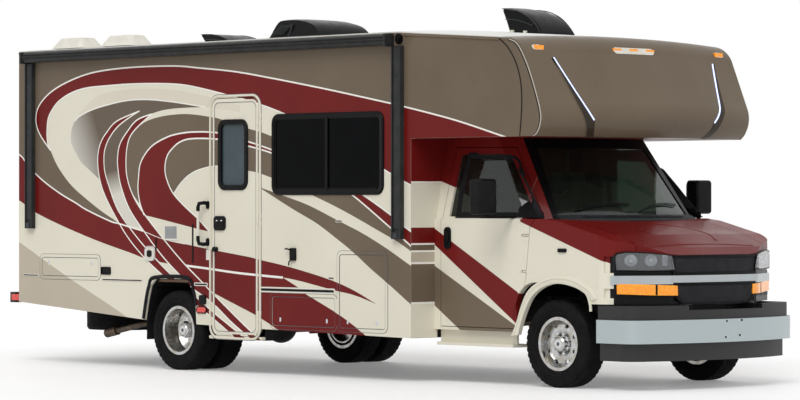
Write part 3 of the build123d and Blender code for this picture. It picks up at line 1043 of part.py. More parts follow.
steering += Pos(0, 0, -110) * Cylinder(24, 200)
save("steering_wheel", wheel_plane * steering - dash)
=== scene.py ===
"""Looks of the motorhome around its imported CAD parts: paint, glass, trim, lamps, wheels and seats.

Metres, +X forward, +Y to the vehicle's left, +Z up. The right side is at -Y.
"""

import json
import math

import bmesh
import bpy
import numpy as np
from mathutils import Matrix, Vector, geometry
from mathutils.bvhtree import BVHTree


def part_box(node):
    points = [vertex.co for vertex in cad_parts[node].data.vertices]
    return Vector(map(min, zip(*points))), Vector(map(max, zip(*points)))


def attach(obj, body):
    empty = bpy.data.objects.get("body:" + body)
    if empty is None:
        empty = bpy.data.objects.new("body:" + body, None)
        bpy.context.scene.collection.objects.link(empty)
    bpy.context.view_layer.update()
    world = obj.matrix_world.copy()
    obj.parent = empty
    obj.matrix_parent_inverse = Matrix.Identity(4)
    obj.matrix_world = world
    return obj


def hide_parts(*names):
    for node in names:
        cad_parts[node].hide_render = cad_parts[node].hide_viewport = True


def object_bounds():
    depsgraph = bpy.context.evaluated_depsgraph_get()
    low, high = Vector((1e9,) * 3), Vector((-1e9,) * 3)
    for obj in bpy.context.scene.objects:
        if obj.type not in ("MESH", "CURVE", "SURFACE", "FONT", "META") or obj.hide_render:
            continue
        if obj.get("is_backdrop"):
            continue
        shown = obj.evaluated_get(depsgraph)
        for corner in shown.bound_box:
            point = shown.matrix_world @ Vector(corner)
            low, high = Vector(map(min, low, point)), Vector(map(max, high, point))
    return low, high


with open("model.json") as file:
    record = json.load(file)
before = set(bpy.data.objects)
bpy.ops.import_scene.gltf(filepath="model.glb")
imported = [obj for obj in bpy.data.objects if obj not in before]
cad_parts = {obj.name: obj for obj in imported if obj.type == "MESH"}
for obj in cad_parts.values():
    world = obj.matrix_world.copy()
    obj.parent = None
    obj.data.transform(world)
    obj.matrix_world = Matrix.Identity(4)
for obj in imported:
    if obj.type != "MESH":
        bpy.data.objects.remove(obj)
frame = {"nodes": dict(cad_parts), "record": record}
cad_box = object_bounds()


def middle_x(node):
    low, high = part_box(node)
    return (low.x + high.x) / 2


# ---- places worked out from the frame ----
SIDE_Y = -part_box("baggage_lid_front")[0].y   # outer face of each side wall
REAR_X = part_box("wall_rear")[0].x            # outer face of the rear wall
FRONT_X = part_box("partition")[0].x + 0.045   # front face of the side walls beside the cab
FRONT_AXLE_X = middle_x("front_tyre_right")
REAR_AXLE_X = middle_x("rear_tyres_right")
WHEEL_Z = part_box("front_tyre_right")[1].z / 2
CAB_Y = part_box("cab_door_left")[1].y         # outermost face of the cab
ROOF_EDGE_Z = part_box("wall_left")[1].z
LEAF_ROOM = 0.010                            # the entry door's hinges reach past its front edge
SKIN, SKIN_BACK = 0.0008, 0.0001             # paint film over a CAD face
RIGHT_LEFT = ((-1, "right"), (1, "left"))

# ---- camera: a long lens, level, at the right front corner ----
IMAGE_W, IMAGE_H = 800, 400
FOCAL_PX = 3438.0
SENSOR = 36.0
CAMERA_PLACE = Vector((22.607, -21.402, 1.519))
CAMERA_YAW = 2.381
LOOK = Vector((math.cos(CAMERA_YAW), math.sin(CAMERA_YAW), 0.001))
RIGHTWARD = Vector((math.sin(CAMERA_YAW), -math.cos(CAMERA_YAW), 0.0))


def sight_line(u, v):
    """Direction from the camera through a pixel of the 800 by 400 picture."""
    across = (u - IMAGE_W / 2) / FOCAL_PX
    up = -(v - IMAGE_H / 2) / FOCAL_PX
    return LOOK + RIGHTWARD * across + Vector((0, 0, up))


def on_plane(u, v, axis, level):
    """Where a pixel's sight line meets the plane at that level of an axis."""
    line = sight_line(u, v)
    return CAMERA_PLACE + line * ((level - CAMERA_PLACE[axis]) / line[axis])


def on_side(u, v, y=-SIDE_Y):
    """(x, z) where a pixel's sight line meets the upright plane at y."""
    point = on_plane(u, v, 1, y)
    return point.x, point.z


def on_front(u, v, x):
    """(y, z) where a pixel's sight line meets the upright plane at x."""
    point = on_plane(u, v, 0, x)
    return point.y, point.z


def linked(name, data):
    """A new object in the scene."""
    made = bpy.data.objects.new(name, data)
    bpy.context.scene.collection.objects.link(made)
    return made


def add_camera():
    optics = bpy.data.cameras.new("camera")
    optics.sensor_width = SENSOR
    optics.lens = FOCAL_PX * SENSOR / IMAGE_W
    optics.clip_end = 200
    camera = linked("camera", optics)
    camera.location = CAMERA_PLACE
    camera.rotation_euler = LOOK.to_track_quat("-Z", "Y").to_euler()
    bpy.context.scene.camera = camera


# ---- materials ----
def colour(code):
    """Linear RGBA of an sRGB hex code such as '6E1F22'."""
    parts = [int(code[i:i + 2], 16) / 255 for i in (0, 2, 4)]
    return [p / 12.92 if p <= 0.04045 else ((p + 0.055) / 1.055) ** 2.4 for p in parts] + [1.0]


class Shade:
    """Builds one node material round a Principled shader."""

    def __init__(self, name, base, rough, metal=0.0, **sockets):
        self.material = bpy.data.materials.new(name)
        self.material.use_nodes = True
        self.nodes = self.material.node_tree.nodes
        self.links = self.material.node_tree.links
        self.shader = self.nodes["Principled BSDF"]
        self.rough = rough
        self.set("Base Color", colour(base))
        self.set("Roughness", rough)
        self.set("Metallic", metal)
        for socket, value in sockets.items():
            self.set(socket.replace("_", " "), value)
        self.height = None

    def set(self, socket, value):
        self.shader.inputs[socket].default_value = value

    def node(self, kind, **values):
        made = self.nodes.new(kind)
        for key, value in values.items():
            if key in [s.name for s in made.inputs]:
                made.inputs[key].default_value = value
            else:
                setattr(made, key, value)
        return made

    def place(self):
        return self.node("ShaderNodeTexCoord").outputs["Object"]

    def noise(self, scale, detail=3.0, stretch=None):
        source = self.place()
        if stretch:
            mapping = self.node("ShaderNodeMapping", Scale=stretch)
            self.links.new(source, mapping.inputs["Vector"])
            source = mapping.outputs["Vector"]
        made = self.node("ShaderNodeTexNoise", Scale=scale, Detail=detail)
        self.links.new(source, made.inputs["Vector"])
        return made.outputs["Fac"]

    def remap(self, value, low, high, start=0.3, end=0.7):
        made = self.node("ShaderNodeMapRange")
        for socket, number in (("From Min", start), ("From Max", end), ("To Min", low), ("To Max", high)):
            made.inputs[socket].default_value = number
        self.links.new(value, made.inputs["Value"])
        return made.outputs["Result"]

    def coat_of_wear(self, scale, spread):
        """Roughness that wanders by spread either side of its set value."""
        worn = self.remap(self.noise(scale, 4), self.rough - spread, self.rough + spread)
        self.links.new(worn, self.shader.inputs["Roughness"])
        return self

    def grain(self, scale, depth, detail=2.0, stretch=None):
        """Fine relief of that depth in metres."""
        bump = self.node("ShaderNodeBump", Strength=1.0, Distance=depth)
        self.links.new(self.noise(scale, detail, stretch), bump.inputs["Height"])
        if self.height:
            self.links.new(self.height, bump.inputs["Normal"])
        self.height = bump.outputs["Normal"]
        self.links.new(self.height, self.shader.inputs["Normal"])
        return self

    def mix(self, mask, below, above):
        """Colour that is below where mask is 0 and above where it is 1: each a hex code or a socket."""
        made = self.node("ShaderNodeMix", data_type="RGBA")
        self.links.new(mask, made.inputs["Factor"])
        for socket, value in ((6, below), (7, above)):      # the node's two colour inputs
            if isinstance(value, str):
                made.inputs[socket].default_value = colour(value)
            else:
                self.links.new(value, made.inputs[socket])
        return made.outputs[2]

    def paint(self, value):
        self.links.new(value, self.shader.inputs["Base Color"])
        return self

    def blotch(self, code_a, code_b, scale, detail=4.0, start=0.35, end=0.65):
        """Base colour that wanders between two codes."""
        mask = self.remap(self.noise(scale, detail), 0.0, 1.0, start, end)
        return self.paint(self.mix(mask, code_a, code_b))

    def dot(self, value, weights, start, end):
        """A ramp from 0 at start to 1 at end, of a vector's product with weights."""
        made = self.node("ShaderNodeVectorMath", operation="DOT_PRODUCT")
        self.links.new(value, made.inputs[0])
        made.inputs[1].default_value = weights
        return self.remap(made.outputs["Value"], 0.0, 1.0, start, end)

    def beyond(self, ax, az, bx, bz, soft=0.0015):
        """1 on the left of the line from (ax, az) to (bx, bz) in the x-z plane, 0 on its right."""
        run, rise = bx - ax, bz - az
        size = math.hypot(run, rise)
        weights = (-rise / size, 0.0, run / size)
        level = weights[0] * ax + weights[2] * az
        return self.dot(self.place(), weights, level - soft, level + soft)

    def along(self, axis, start, end):
        """A smooth ramp from 0 to 1 along an axis ('X', 'Y' or 'Z')."""
        split = self.node("ShaderNodeSeparateXYZ")
        self.links.new(self.place(), split.inputs[0])
        return self.remap(split.outputs[axis], 0.0, 1.0, start, end)

    def math(self, operation, a, b):
        made = self.node("ShaderNodeMath", operation=operation)
        for i, value in enumerate((a, b)):
            if isinstance(value, (int, float)):
                made.inputs[i].default_value = value
            else:
                self.links.new(value, made.inputs[i])
        return made.outputs[0]

    def lacquered(self):
        """Road dust in the gloss and a faint orange peel, as on every painted panel."""
        return self.coat_of_wear(2.2, 0.07).grain(160, 0.00006).material


GLOSS = {"Coat_Weight": 0.1, "Coat_Roughness": 0.06, "Specular_IOR_Level": 0.08}
PAINT_ROUGH = 0.34


def car_paint(name, code, darker):
    """Clear-coated paint, clouded a little towards a darker code."""
    return Shade(name, code, PAINT_ROUGH, **GLOSS).blotch(code, darker, 1.3, 4, 0.3, 0.7).lacquered()


def plastic(name, code, other, rough, scale=900, depth=0.0001):
    shade = Shade(name, code, rough, Specular_IOR_Level=0.1).blotch(code, other, 9)
    return shade.coat_of_wear(14, 0.08).grain(scale, depth).material


def metal(name, code, other, rough, scale=300, depth=0.00005, metallic=1.0):
    shade = Shade(name, code, rough, metallic).blotch(code, other, 18)
    return shade.coat_of_wear(25, 0.1).grain(scale, depth).material


def glass(name, code, rough, weight):
    shade = Shade(name, code, rough, Transmission_Weight=weight, IOR=1.45)
    return shade.coat_of_wear(5, 0.012).grain(3, 0.0004).material


def lens(name, code, rough, codes, scale, grain, **sockets):
    """A smooth moulded face whose colour wanders between two codes."""
    return Shade(name, code, rough, **sockets).blotch(*codes, scale).grain(*grain).material


def woven(name, code, other):
    shade = Shade(name, code, 0.9, Sheen_Weight=0.3).blotch(code, other, 260, 2)
    return shade.coat_of_wear(40, 0.06).grain(1400, 0.0004).material


TAUPE, RED, CREAM = "726555", "701A18", "E6E1D0"
PAINTS = {name: car_paint("paint_" + name, code, darker) for name, code, darker in (
    ("taupe", TAUPE, "6B5E4F"), ("red", RED, "681614"), ("cream", CREAM, "E1DCCB"),
    # the last paint below is pale, a painted highlight on the cap's flange
    ("beige", "C2B8A6", "BBB19F"), ("white", "F6F3EC", "F0EDE5"), ("pale_highlight", "CFCBC3", "C4BFB6"))}
# dark brown of the cap's scoops: painted shade in their recesses
SCOOP_PAINTED_SHADE = car_paint("painted_scoop_shade", "3B332B", "352D26")
BLACK_PLASTIC = plastic("moulded_black", "0E0E10", "151517", 0.45)
BLACK_TRIM = plastic("satin_black_trim", "0A0A0B", "101012", 0.32, 500, 0.00005)
RUBBER = plastic("rubber_black", "17171A", "202022", 0.7, 700, 0.0002)
WHITE_TRIM = plastic("white_trim", "E8E4DA", "DEDACF", 0.4, 500, 0.00005)
GREY_LINE = plastic("edge_grey", "5A5F66", "6A6F76", 0.35, 400, 0.00005)
GREY_LOUVRE = plastic("louvre_grey", "A8A9AA", "9C9D9E", 0.45)
MESH_BAR = plastic("mesh_bar", "3A3A3D", "434347", 0.45)
# near black for openings: painted shade behind the grilles' honeycomb, in the bumper's holes and in the cowl's
# slots
OPENING_SHADE_BLACK = plastic("painted_opening_shade", "060607", "0A0A0B", 0.6)
LAMP_DARK = plastic("lamp_dark", "17181A", "202124", 0.3, 60, 0.0002)
SEAM_DARK = plastic("seam_dark", "1E1A17", "26211D", 0.5)
VENT_BLACK = plastic("vent_shroud", "0B0C0D", "121314", 0.3, 260, 0.0001)
VENT_EDGE = plastic("vent_edge", "3A3B3D", "434446", 0.4)
COWL_GREY = plastic("cowl_grey", "2B2D2F", "34363A", 0.5)
SEAT_PIPING = plastic("seat_piping", "5C6454", "666E5E", 0.7)
SEAT_CLOTH = woven("seat_cloth", "9AA58C", "87927A")
CHROME = metal("bright_metal", "D8DADC", "C7C9CC", 0.16)
LAMP_CHROME = metal("lamp_chrome", "8C9096", "64676C", 0.14)
NUT_SHADE = metal("nut_shade", "6A6660", "54504B", 0.35)
# metal of the awning arms' feet and bolts, and of the lines along the arms' edges, which are a painted highlight
ARM_STEEL_AND_HIGHLIGHT = metal("arm_steel_and_highlight", "4A4E55", "3C4046", 0.35)
MIRROR_FACE = metal("mirror_face", "C8D0D4", "BCC4C8", 0.04, 40, 0.00001)
NOSE_SILVER = lens("nose_silver", "AEB4B6", 0.28, ("B4BABC", "A8AEB0"), 2, (300, 0.00002), metal=0.8)
CLEAR_LENS = glass("clear_lens", "F4F6F8", 0.03, 0.95)
DARK_GLASS = lens("dark_glass", "040506", 0.05, ("050607", "08090B"), 3, (4, 0.0003), Specular_IOR_Level=0.04)
PANE_GLASS = lens("pane_glass", "3F4B4E", 0.12, ("3C484B", "46535A"), 2, (4, 0.0003), Specular_IOR_Level=0.2)
BULB = lens("lamp_bulb", "B8B6B0", 0.15, ("C4C2BA", "A09E98"), 80, (100, 0.0002), Coat_Weight=0.3)
AMBER = lens("amber_lens", "E8920C", 0.12, ("F2A024", "DC7E0A"), 60, (260, 0.0004),
             Coat_Weight=0.3, Emission_Color=colour("F0940C"), Emission_Strength=0.35)
# the red lens glows faintly: on lamps that is their own light, on the side reflector, which is no lamp, a painted
# glow
RED_LENS = lens("red_lens", "D02A1E", 0.12, ("D83022", "B82018"), 60, (260, 0.0004),
                Coat_Weight=0.6, Emission_Color=colour("D02A1E"), Emission_Strength=0.2)
LED_WHITE = lens("led_strip", "C9D4FF", 0.2, ("D2DAFF", "BCC8F6"), 120, (200, 0.0002),
                 Emission_Color=colour("B9C8FF"), Emission_Strength=1.3)


# ---- mesh helpers ----
def piece(name, verts, faces, body, slot, materials, face_materials=None, smooth=False, bevel=0.0, angle=35):
    """One visible piece: a mesh in place, riding on a body."""
    mesh = bpy.data.meshes.new(name)
    mesh.from_pydata([tuple(v) for v in verts], [], faces)
    for material in materials if isinstance(materials, (list, tuple)) else [materials]:
        mesh.materials.append(material)
    if face_materials is not None:
        mesh.polygons.foreach_set("material_index", face_materials)
    mesh.validate()
    made = linked(name, mesh)
    work = bmesh.new()
    work.from_mesh(mesh)
    bmesh.ops.remove_doubles(work, verts=work.verts, dist=1e-6)
    bmesh.ops.recalc_face_normals(work, faces=work.faces)
    work.to_mesh(mesh)
    work.free()
    if bevel:
        edge = made.modifiers.new("bevel", "BEVEL")
        edge.width = bevel
        edge.segments = 2
        edge.limit_method = "ANGLE"
        edge.angle_limit = math.radians(30)
        smooth = True
    if smooth:
        mesh.shade_smooth()
        mesh.set_sharp_from_angle(angle=math.radians(angle))
    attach(made, body)
    return made


def ring_faces(count, size, closed=False):
    """Faces between count rows of size points each, and the end caps of an open run."""
    faces = []
    for i in range(count if closed else count - 1):
        here, there = i * size, (i + 1) % count * size
        faces += [(here + m, here + (m + 1) % size, there + (m + 1) % size, there + m) for m in range(size)]
    if not closed:
        last = (count - 1) * size
        faces += [tuple(range(size)), tuple(range(last, last + size))]
    return faces


class Build:
    """Collects the faces of one piece that is made of several parts."""

    def __init__(self):
        self.verts, self.faces, self.marks = [], [], []

    def add(self, verts, faces, mark=0):
        start = len(self.verts)
        self.verts += [Vector(v) for v in verts]
        self.faces += [[start + i for i in face] for face in faces]
        self.marks += [mark] * len(faces)
        return self

    def block(self, x0, x1, y0, y1, z0, z1, mark=0):
        corners = [(x, y, z) for x in (x0, x1) for y in (y0, y1) for z in (z0, z1)]
        return self.add(corners, [(0, 1, 3, 2), (4, 6, 7, 5), (0, 4, 5, 1), (2, 3, 7, 6), (0, 2, 6, 4),
                                  (1, 5, 7, 3)], mark)

    def prism(self, outline, place, h0, h1, mark=0):
        """An outline of (a, b) points, raised from h0 to h1 by place(a, b, h)."""
        n = len(outline)
        verts = [place(a, b, h0) for a, b in outline] + [place(a, b, h1) for a, b in outline]
        sides = [(i, (i + 1) % n, n + (i + 1) % n, n + i) for i in range(n)]
        return self.add(verts, sides + [tuple(range(n)), tuple(range(n, 2 * n))], mark)

    def sweep(self, path, place, profile, closed=True, mark=0):
        """A profile of (outward, height) points along a path of (a, b) points."""
        n = len(path)
        verts = []
        for i, (a, b) in enumerate(path):
            before = path[i - 1] if closed or i else path[i]
            after = path[(i + 1) % n] if closed or i + 1 < n else path[i]
            run = Vector((after[0] - before[0], after[1] - before[1])).normalized()
            verts += [place(a + run.y * out, b - run.x * out, height) for out, height in profile]
        return self.add(verts, ring_faces(n, len(profile), closed), mark)

    def tube(self, points, radius, sides=12, mark=0):
        """A round bar along 3-D points, with closed ends."""
        points = [Vector(p) for p in points]
        side = None
        verts = []
        for i, point in enumerate(points):
            run = (points[min(i + 1, len(points) - 1)] - points[max(i - 1, 0)]).normalized()
            if side is None:
                side = run.cross(Vector((0.3, 0.2, 0.9))).normalized()
            side = (side - run * side.dot(run)).normalized()
            other = run.cross(side)
            for k in range(sides):
                turn = 2 * math.pi * k / sides
                verts.append(point + (side * math.cos(turn) + other * math.sin(turn)) * radius)
        return self.add(verts, ring_faces(len(points), sides), mark)

    def turned(self, profile, centre, axis, sides=32, mark=0):
        """A profile of (radius, along) points turned about an axis ('x' or 'y') through centre."""
        verts, faces = [], []
        k = len(profile)
        for i in range(sides):
            turn = 2 * math.pi * i / sides
            for radius, along in profile:
                c, s = radius * math.cos(turn), radius * math.sin(turn)
                verts.append(Vector(centre) + Vector((along, c, s) if axis == "x" else (c, along, s)))
            j = (i + 1) % sides
            faces += [(i * k + m, i * k + m + 1, j * k + m + 1, j * k + m) for m in range(k - 1)]
        return self.add(verts, faces, mark)

    def make(self, name, body, slot, materials, **options):
        return piece(name, self.verts, self.faces, body, slot, materials, self.marks, **options)


def at_side(side, y):
    """Place of (a, b, h) on the upright plane at side * y, h further out."""
    return lambda a, b, h: Vector((a, side * (y + h), b))


right_side, left_side = at_side(-1, SIDE_Y), at_side(1, SIDE_Y)


def rear_face(a, b, h):
    return Vector((REAR_X - h, a, b))


def corner_face(a, b, h):
    return Vector((FRONT_X + h, a, b))


def from_above(a, b, h):
    return Vector((a, b, h))


def slab(a0, a1, b0, b1):
    """Outline of a plain rectangle."""
    return [(a0, b0), (a1, b0), (a1, b1), (a0, b1)]


def bead(half, rise, base=0.0, top=0.75):
    """Profile of a low bead: half its width, its height, and its top's share of the width."""
    return [(-half, base), (-half * top, rise), (half * top, rise), (half, base)]


def rounded(x0, x1, z0, z1, radius, steps=5):
    """Outline of a rounded rectangle, anticlockwise."""
    points = []
    for cx, cz, start in ((x1 - radius, z0 + radius, -90), (x1 - radius, z1 - radius, 0),
                          (x0 + radius, z1 - radius, 90), (x0 + radius, z0 + radius, 180)):
        for i in range(steps + 1):
            turn = math.radians(start + 90 * i / steps)
            points.append((cx + radius * math.cos(turn), cz + radius * math.sin(turn)))
    return points


def spread(box, by):
    """A box (x0, x1, z0, z1) grown by that much on each side."""
    x0, x1, z0, z1 = box
    return x0 - by, x1 + by, z0 - by, z1 + by


def curve_through(points, steps=6):
    """Smooth open line through the points (Catmull-Rom)."""
    line = []
    for i in range(len(points) - 1):
        p = [np.array(points[min(max(i + k, 0), len(points) - 1)]) for k in (-1, 0, 1, 2)]
        for s in range(steps):
            t = s / steps
            line.append(tuple(0.5 * (2 * p[1] + (p[2] - p[0]) * t
                                     + (2 * p[0] - 5 * p[1] + 4 * p[2] - p[3]) * t ** 2
                                     + (3 * p[1] - p[0] - 3 * p[2] + p[3]) * t ** 3)))
    return line + [tuple(points[-1])]


def inside(points, outline):
    """Which points (n by 2) lie inside a closed outline, by crossing count."""
    x, y = points[:, 0], points[:, 1]
    odd = np.zeros(len(points), bool)
    for (ax, ay), (bx, by) in zip(outline, outline[1:] + outline[:1]):
        if ay != by:
            odd ^= ((ay > y) != (by > y)) & (x < (bx - ax) * (y - ay) / (by - ay) + ax)
    return odd


def cut_plane(outline, holes=(), shapes=(), cuts=()):
    """Triangles of an outline less its holes, cut along shapes and two-point cuts.

    Gives the points (n by 2), every triangle's point numbers and middle, and which triangles to keep.
    """
    points, edges = [], []
    for loop in (outline, *holes, *shapes):
        start = len(points)
        points += [Vector(p) for p in loop]
        edges += [(start + i, start + (i + 1) % len(loop)) for i in range(len(loop))]
    for cut in cuts:
        points += [Vector(p) for p in cut]
        edges.append((len(points) - 2, len(points) - 1))
    verts, _, faces, _, _, _ = geometry.delaunay_2d_cdt(points, edges, [], 0, 1e-6)
    flat = np.array([tuple(v) for v in verts])
    tris = np.array([f[:3] for f in faces])
    middle = flat[tris].mean(axis=1)
    keep = inside(middle, outline)
    for hole in holes:
        keep &= ~inside(middle, hole)
    return flat, tris, middle, keep


def open_edges(tris):
    """Edges that only one triangle has, each in that triangle's direction."""
    found = {}
    for tri in tris:
        for key in zip(tri, (*tri[1:], tri[0])):
            pair = tuple(sorted(key))
            found[pair] = None if pair in found else key
    return [key for key in found.values() if key]


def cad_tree(node):
    """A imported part's faces, to cast lines on."""
    mesh = frame["nodes"][node].data
    return BVHTree.FromPolygons([v.co for v in mesh.vertices], [p.vertices[:] for p in mesh.polygons])


# ---- painted graphics: outlines by pixel on the right wall's plane, bottom layer first ----
OUTER_LINE = [(570, 158), (510, 138.5), (455, 120), (399.5, 105.4), (388, 102.7), (326, 89), (271, 78),
              (235, 71.6), (200, 68), (175, 66), (137, 67), (107, 70), (86, 74.5), (66, 82.7), (51, 92),
              (41.5, 102), (37, 111), (36, 121), (38, 130), (42.6, 139), (50.7, 150.5)]
RED_INNER = [(425, 192), (407, 183), (398, 178), (385, 170), (340, 141), (286, 114.5), (255, 102.7),
             (235, 97), (200, 88), (175, 84), (137, 83.7), (107, 85.7), (86, 88), (71, 93), (59, 101),
             (52, 110), (48, 119), (47, 130), (47, 137), (48, 145), (50.7, 150.5)]
CREAM_LOWER = [(50.7, 150.5), (56, 163), (63, 174.5), (72, 186), (84, 197), (100, 210), (110, 217),
               (119, 223)]
BAND_TOP_REAR = [(2, 141), (20.6, 155.6), (25, 161), (35, 173), (46, 183), (61, 194), (76, 203), (87, 210),
                 (110, 221), (119, 223.6), (143, 231)]
BAND_TOP = [(143, 231), (163, 239), (185, 244), (211, 249.6), (235, 254.2), (252, 257.6), (258.6, 259.5),
            (289.5, 267), (328, 279), (353, 290), (377, 304.5)]
BAND_FOOT = [(377, 304.5), (362, 298), (350, 294), (337, 291), (322, 287), (300, 281), (283, 277.6),
             (258.6, 275.2), (235, 272.6), (211, 269), (186, 265.6), (165, 263), (144, 258), (131, 253),
             (98, 241), (65, 227), (36.6, 213), (21, 201.6), (2, 190)]
BLOCK_FRONT = [(283, 277.6), (299, 288), (306, 294), (335, 312), (353, 325), (372, 341), (380, 348)]
BLOCK_REAR = [(300, 346), (277, 329), (258.6, 317), (251, 312.6), (215, 293.6), (200, 284), (186, 265.6)]
CORE = [(205, 107), (187, 104), (170, 101.5), (148, 99.5), (127, 100.5), (107, 105), (91.5, 110), (80, 116),
        (75, 121), (71.6, 130), (71, 140), (73, 147), (77, 155), (82, 163), (89.5, 170), (99, 179)]
CORE_FRONT = [(152, 113.5), (164, 110), (181, 108), (205, 107)]
SWOOSH = [(79, 114), (90, 102), (101.7, 94.5), (122, 90), (146, 88.6), (175, 90), (210, 97), (240, 105)]
A_REAR = [(139.5, 111), (117, 121), (107, 132), (101, 142), (98, 154), (98, 167), (100, 180), (104, 193),
          (112, 210), (127, 236), (145, 258.3), (164, 276.5), (194, 302.8), (212.9, 318.4), (233, 336),
          (245, 347)]
A_FRONT = [(139.5, 111), (133, 115), (119, 125.5), (110, 137), (105, 149), (104, 160), (105, 172), (109, 186),
           (118, 210), (136, 236), (155, 258), (173, 276.5), (194, 295), (212.9, 311.8), (240, 334),
           (254, 346)]
B_REAR = [(151.7, 114), (137, 120), (127, 132), (120, 144), (117.6, 157), (118, 169), (121, 186), (130, 210),
          (147, 235.5), (164, 258), (182.5, 278), (189.4, 286), (212.9, 303.6), (234, 324.6), (262, 348)]
B_FRONT = [(151.7, 114), (137, 127.6), (130, 137), (127, 148), (126, 162), (127, 176.5), (132, 193),
           (141.5, 210), (162, 237), (181, 260), (200, 280), (213, 293.5), (244, 324.6), (268, 347)]
TAUPE_TOP = [(352, 184), (310, 154), (271, 136), (257, 131), (246.5, 128), (220, 119), (211, 117), (187, 114),
             (164, 116), (147, 121), (135, 129)]
ARC_OUTER = [(420, 238), (407, 228.5), (397.7, 221), (386.8, 211.8), (364, 195.5), (340, 181), (310, 165),
             (271, 149.5), (246.5, 141), (219, 133), (193, 132), (175, 134.5), (163, 139), (152, 146),
             (144.6, 155), (140, 165), (138.5, 178), (138, 189), (139.8, 202), (144, 215)]
ARC_FOOT = [(144, 215), (164, 220), (202, 230), (209, 231)]
ARC_INNER = [(209, 231), (198, 218.6), (184.5, 206), (173, 193), (167, 180), (165, 169), (166.5, 158),
             (171, 150), (180, 142), (193, 138.6), (219, 139.4), (246.5, 145.6), (271, 152.8), (300, 165),
             (330, 181), (353, 195.5), (386.8, 224.5), (397.7, 234), (407, 242.4), (420, 254)]
DISC_EDGE = [(412, 252), (398, 242), (386.8, 235.5), (344, 211), (313, 195.5), (295, 187), (271, 177.5),
             (257, 172.5), (246.5, 170.5), (219, 166), (201, 169), (189, 175), (180, 184), (173.5, 194)]
STRIPE_TOP = [(258.6, 187), (280, 194.5), (308, 205), (337, 220), (362, 233), (386, 248), (407, 263),
              (420, 272)]
STRIPE_FOOT = [(420, 312), (407, 301), (389.5, 285), (371, 269), (353, 252), (337, 239), (317, 223.6),
               (289.5, 207), (258.6, 187)]
SHADOW_LINE = [(0, 228), (22.4, 244.3), (69.3, 278), (113.7, 307.7), (134, 322)]

FIELDS = [("red", [OUTER_LINE, CREAM_LOWER, [(200, 280), (570, 280)]]),
          ("cream", [RED_INNER, CREAM_LOWER, [(119, 223), (134, 350), (425, 350)]]),
          ("cream", [[(0, 150), (119, 223.6)], [(134, 330), (134, 350), (0, 350)]]),
          ("taupe", [BAND_TOP_REAR[:10], [(119, 223)], CREAM_LOWER[::-1], [(44, 142), (2, 100)]]),
          ("beige", [SHADOW_LINE, [(134, 350), (0, 350)]]),
          ("red", [BAND_TOP_REAR, BAND_TOP, BAND_FOOT]),
          ("red", [[(186, 265.6), (235, 272.6), (283, 277.6)], BLOCK_FRONT, BLOCK_REAR]),
          ("swoosh", [SWOOSH, [(240, 112), (205, 107)], CORE[:8]]),
          ("core", [CORE, [(112, 206), (125, 226), (136, 226)], [(126, 160), (140, 122)], CORE_FRONT]),
          ("strip", [A_FRONT[:9], [(130, 227), (141, 227)], B_REAR[:8][::-1]]),
          ("taupe", [TAUPE_TOP, B_FRONT[2:7], [(139, 203)], [(160, 190), (200, 150), (271, 151), (352, 190)]]),
          ("red", [ARC_OUTER, ARC_FOOT, ARC_INNER]),
          ("taupe", [ARC_INNER[3:], DISC_EDGE]),
          ("taupe", [STRIPE_TOP, STRIPE_FOOT]),
          ("red", [A_REAR, A_FRONT[::-1]]),
          ("red", [B_REAR, B_FRONT[::-1]])]
LINE_W = 0.014
PIN_LINES = [(OUTER_LINE, LINE_W), (RED_INNER, 0.011), (BAND_TOP_REAR, LINE_W), (BAND_FOOT[6:11], 0.02),
             (CORE[:9], 0.012), (A_REAR, 0.012), (A_FRONT, 0.012), (B_REAR, 0.013), (B_FRONT, 0.013),
             (ARC_OUTER, LINE_W), (ARC_INNER, LINE_W), (DISC_EDGE[8:], 0.009), (BAND_TOP[:3], 0.006)]


def wall_points(run):
    return [on_side(u, v) for u, v in run]


def pin_line(run, width):
    """A line of that width along a smooth run of wall points."""
    line = curve_through(wall_points(run))
    sides = [[], []]
    for i, (a, b) in enumerate(line):
        before, after = line[max(i - 1, 0)], line[min(i + 1, len(line) - 1)]
        along = Vector((after[0] - before[0], after[1] - before[1])).normalized() * (width / 2)
        sides[0].append((a - along.y, b + along.x))
        sides[1].append((a + along.y, b - along.x))
    return sides[0] + sides[1][::-1]


def field(runs):
    """A closed area from smooth runs, joined end to end."""
    outline = []
    for run in runs:
        points = wall_points(run)
        outline += curve_through(points) if len(points) > 2 else points
    return outline


def side_graphics():
    layers = [(paint, field(runs)) for paint, runs in FIELDS]
    return layers + [("white", pin_line(run, width)) for run, width in PIN_LINES]


def fade_paint(name, start, end, low, high):
    """Paint that fades between two codes along a line on the wall, from one pixel to another."""
    shade = Shade(name, low, PAINT_ROUGH, **GLOSS)
    (ax, az), (bx, bz) = on_side(*start), on_side(*end)
    size = math.hypot(bx - ax, bz - az)
    across = ((bx - ax) / size, 0.0, (bz - az) / size)
    level = across[0] * ax + across[2] * az
    return shade.paint(shade.mix(shade.dot(shade.place(), across, level, level + size), low, high)).lacquered()


FILM = dict(PAINTS, core=fade_paint("paint_core_fade", (76, 152), (99, 134), "C6C2BA", "6A5E51"),
            strip=fade_paint("paint_strip_fade", (112, 196), (109, 172), "DAD6CB", "6A5E51"),
            swoosh=car_paint("paint_swoosh", "E0D8C8", "DAD2C1"))
FILM_NAMES = list(FILM)
SLIVER = 1e-9                 # triangles smaller than this are left out of a film


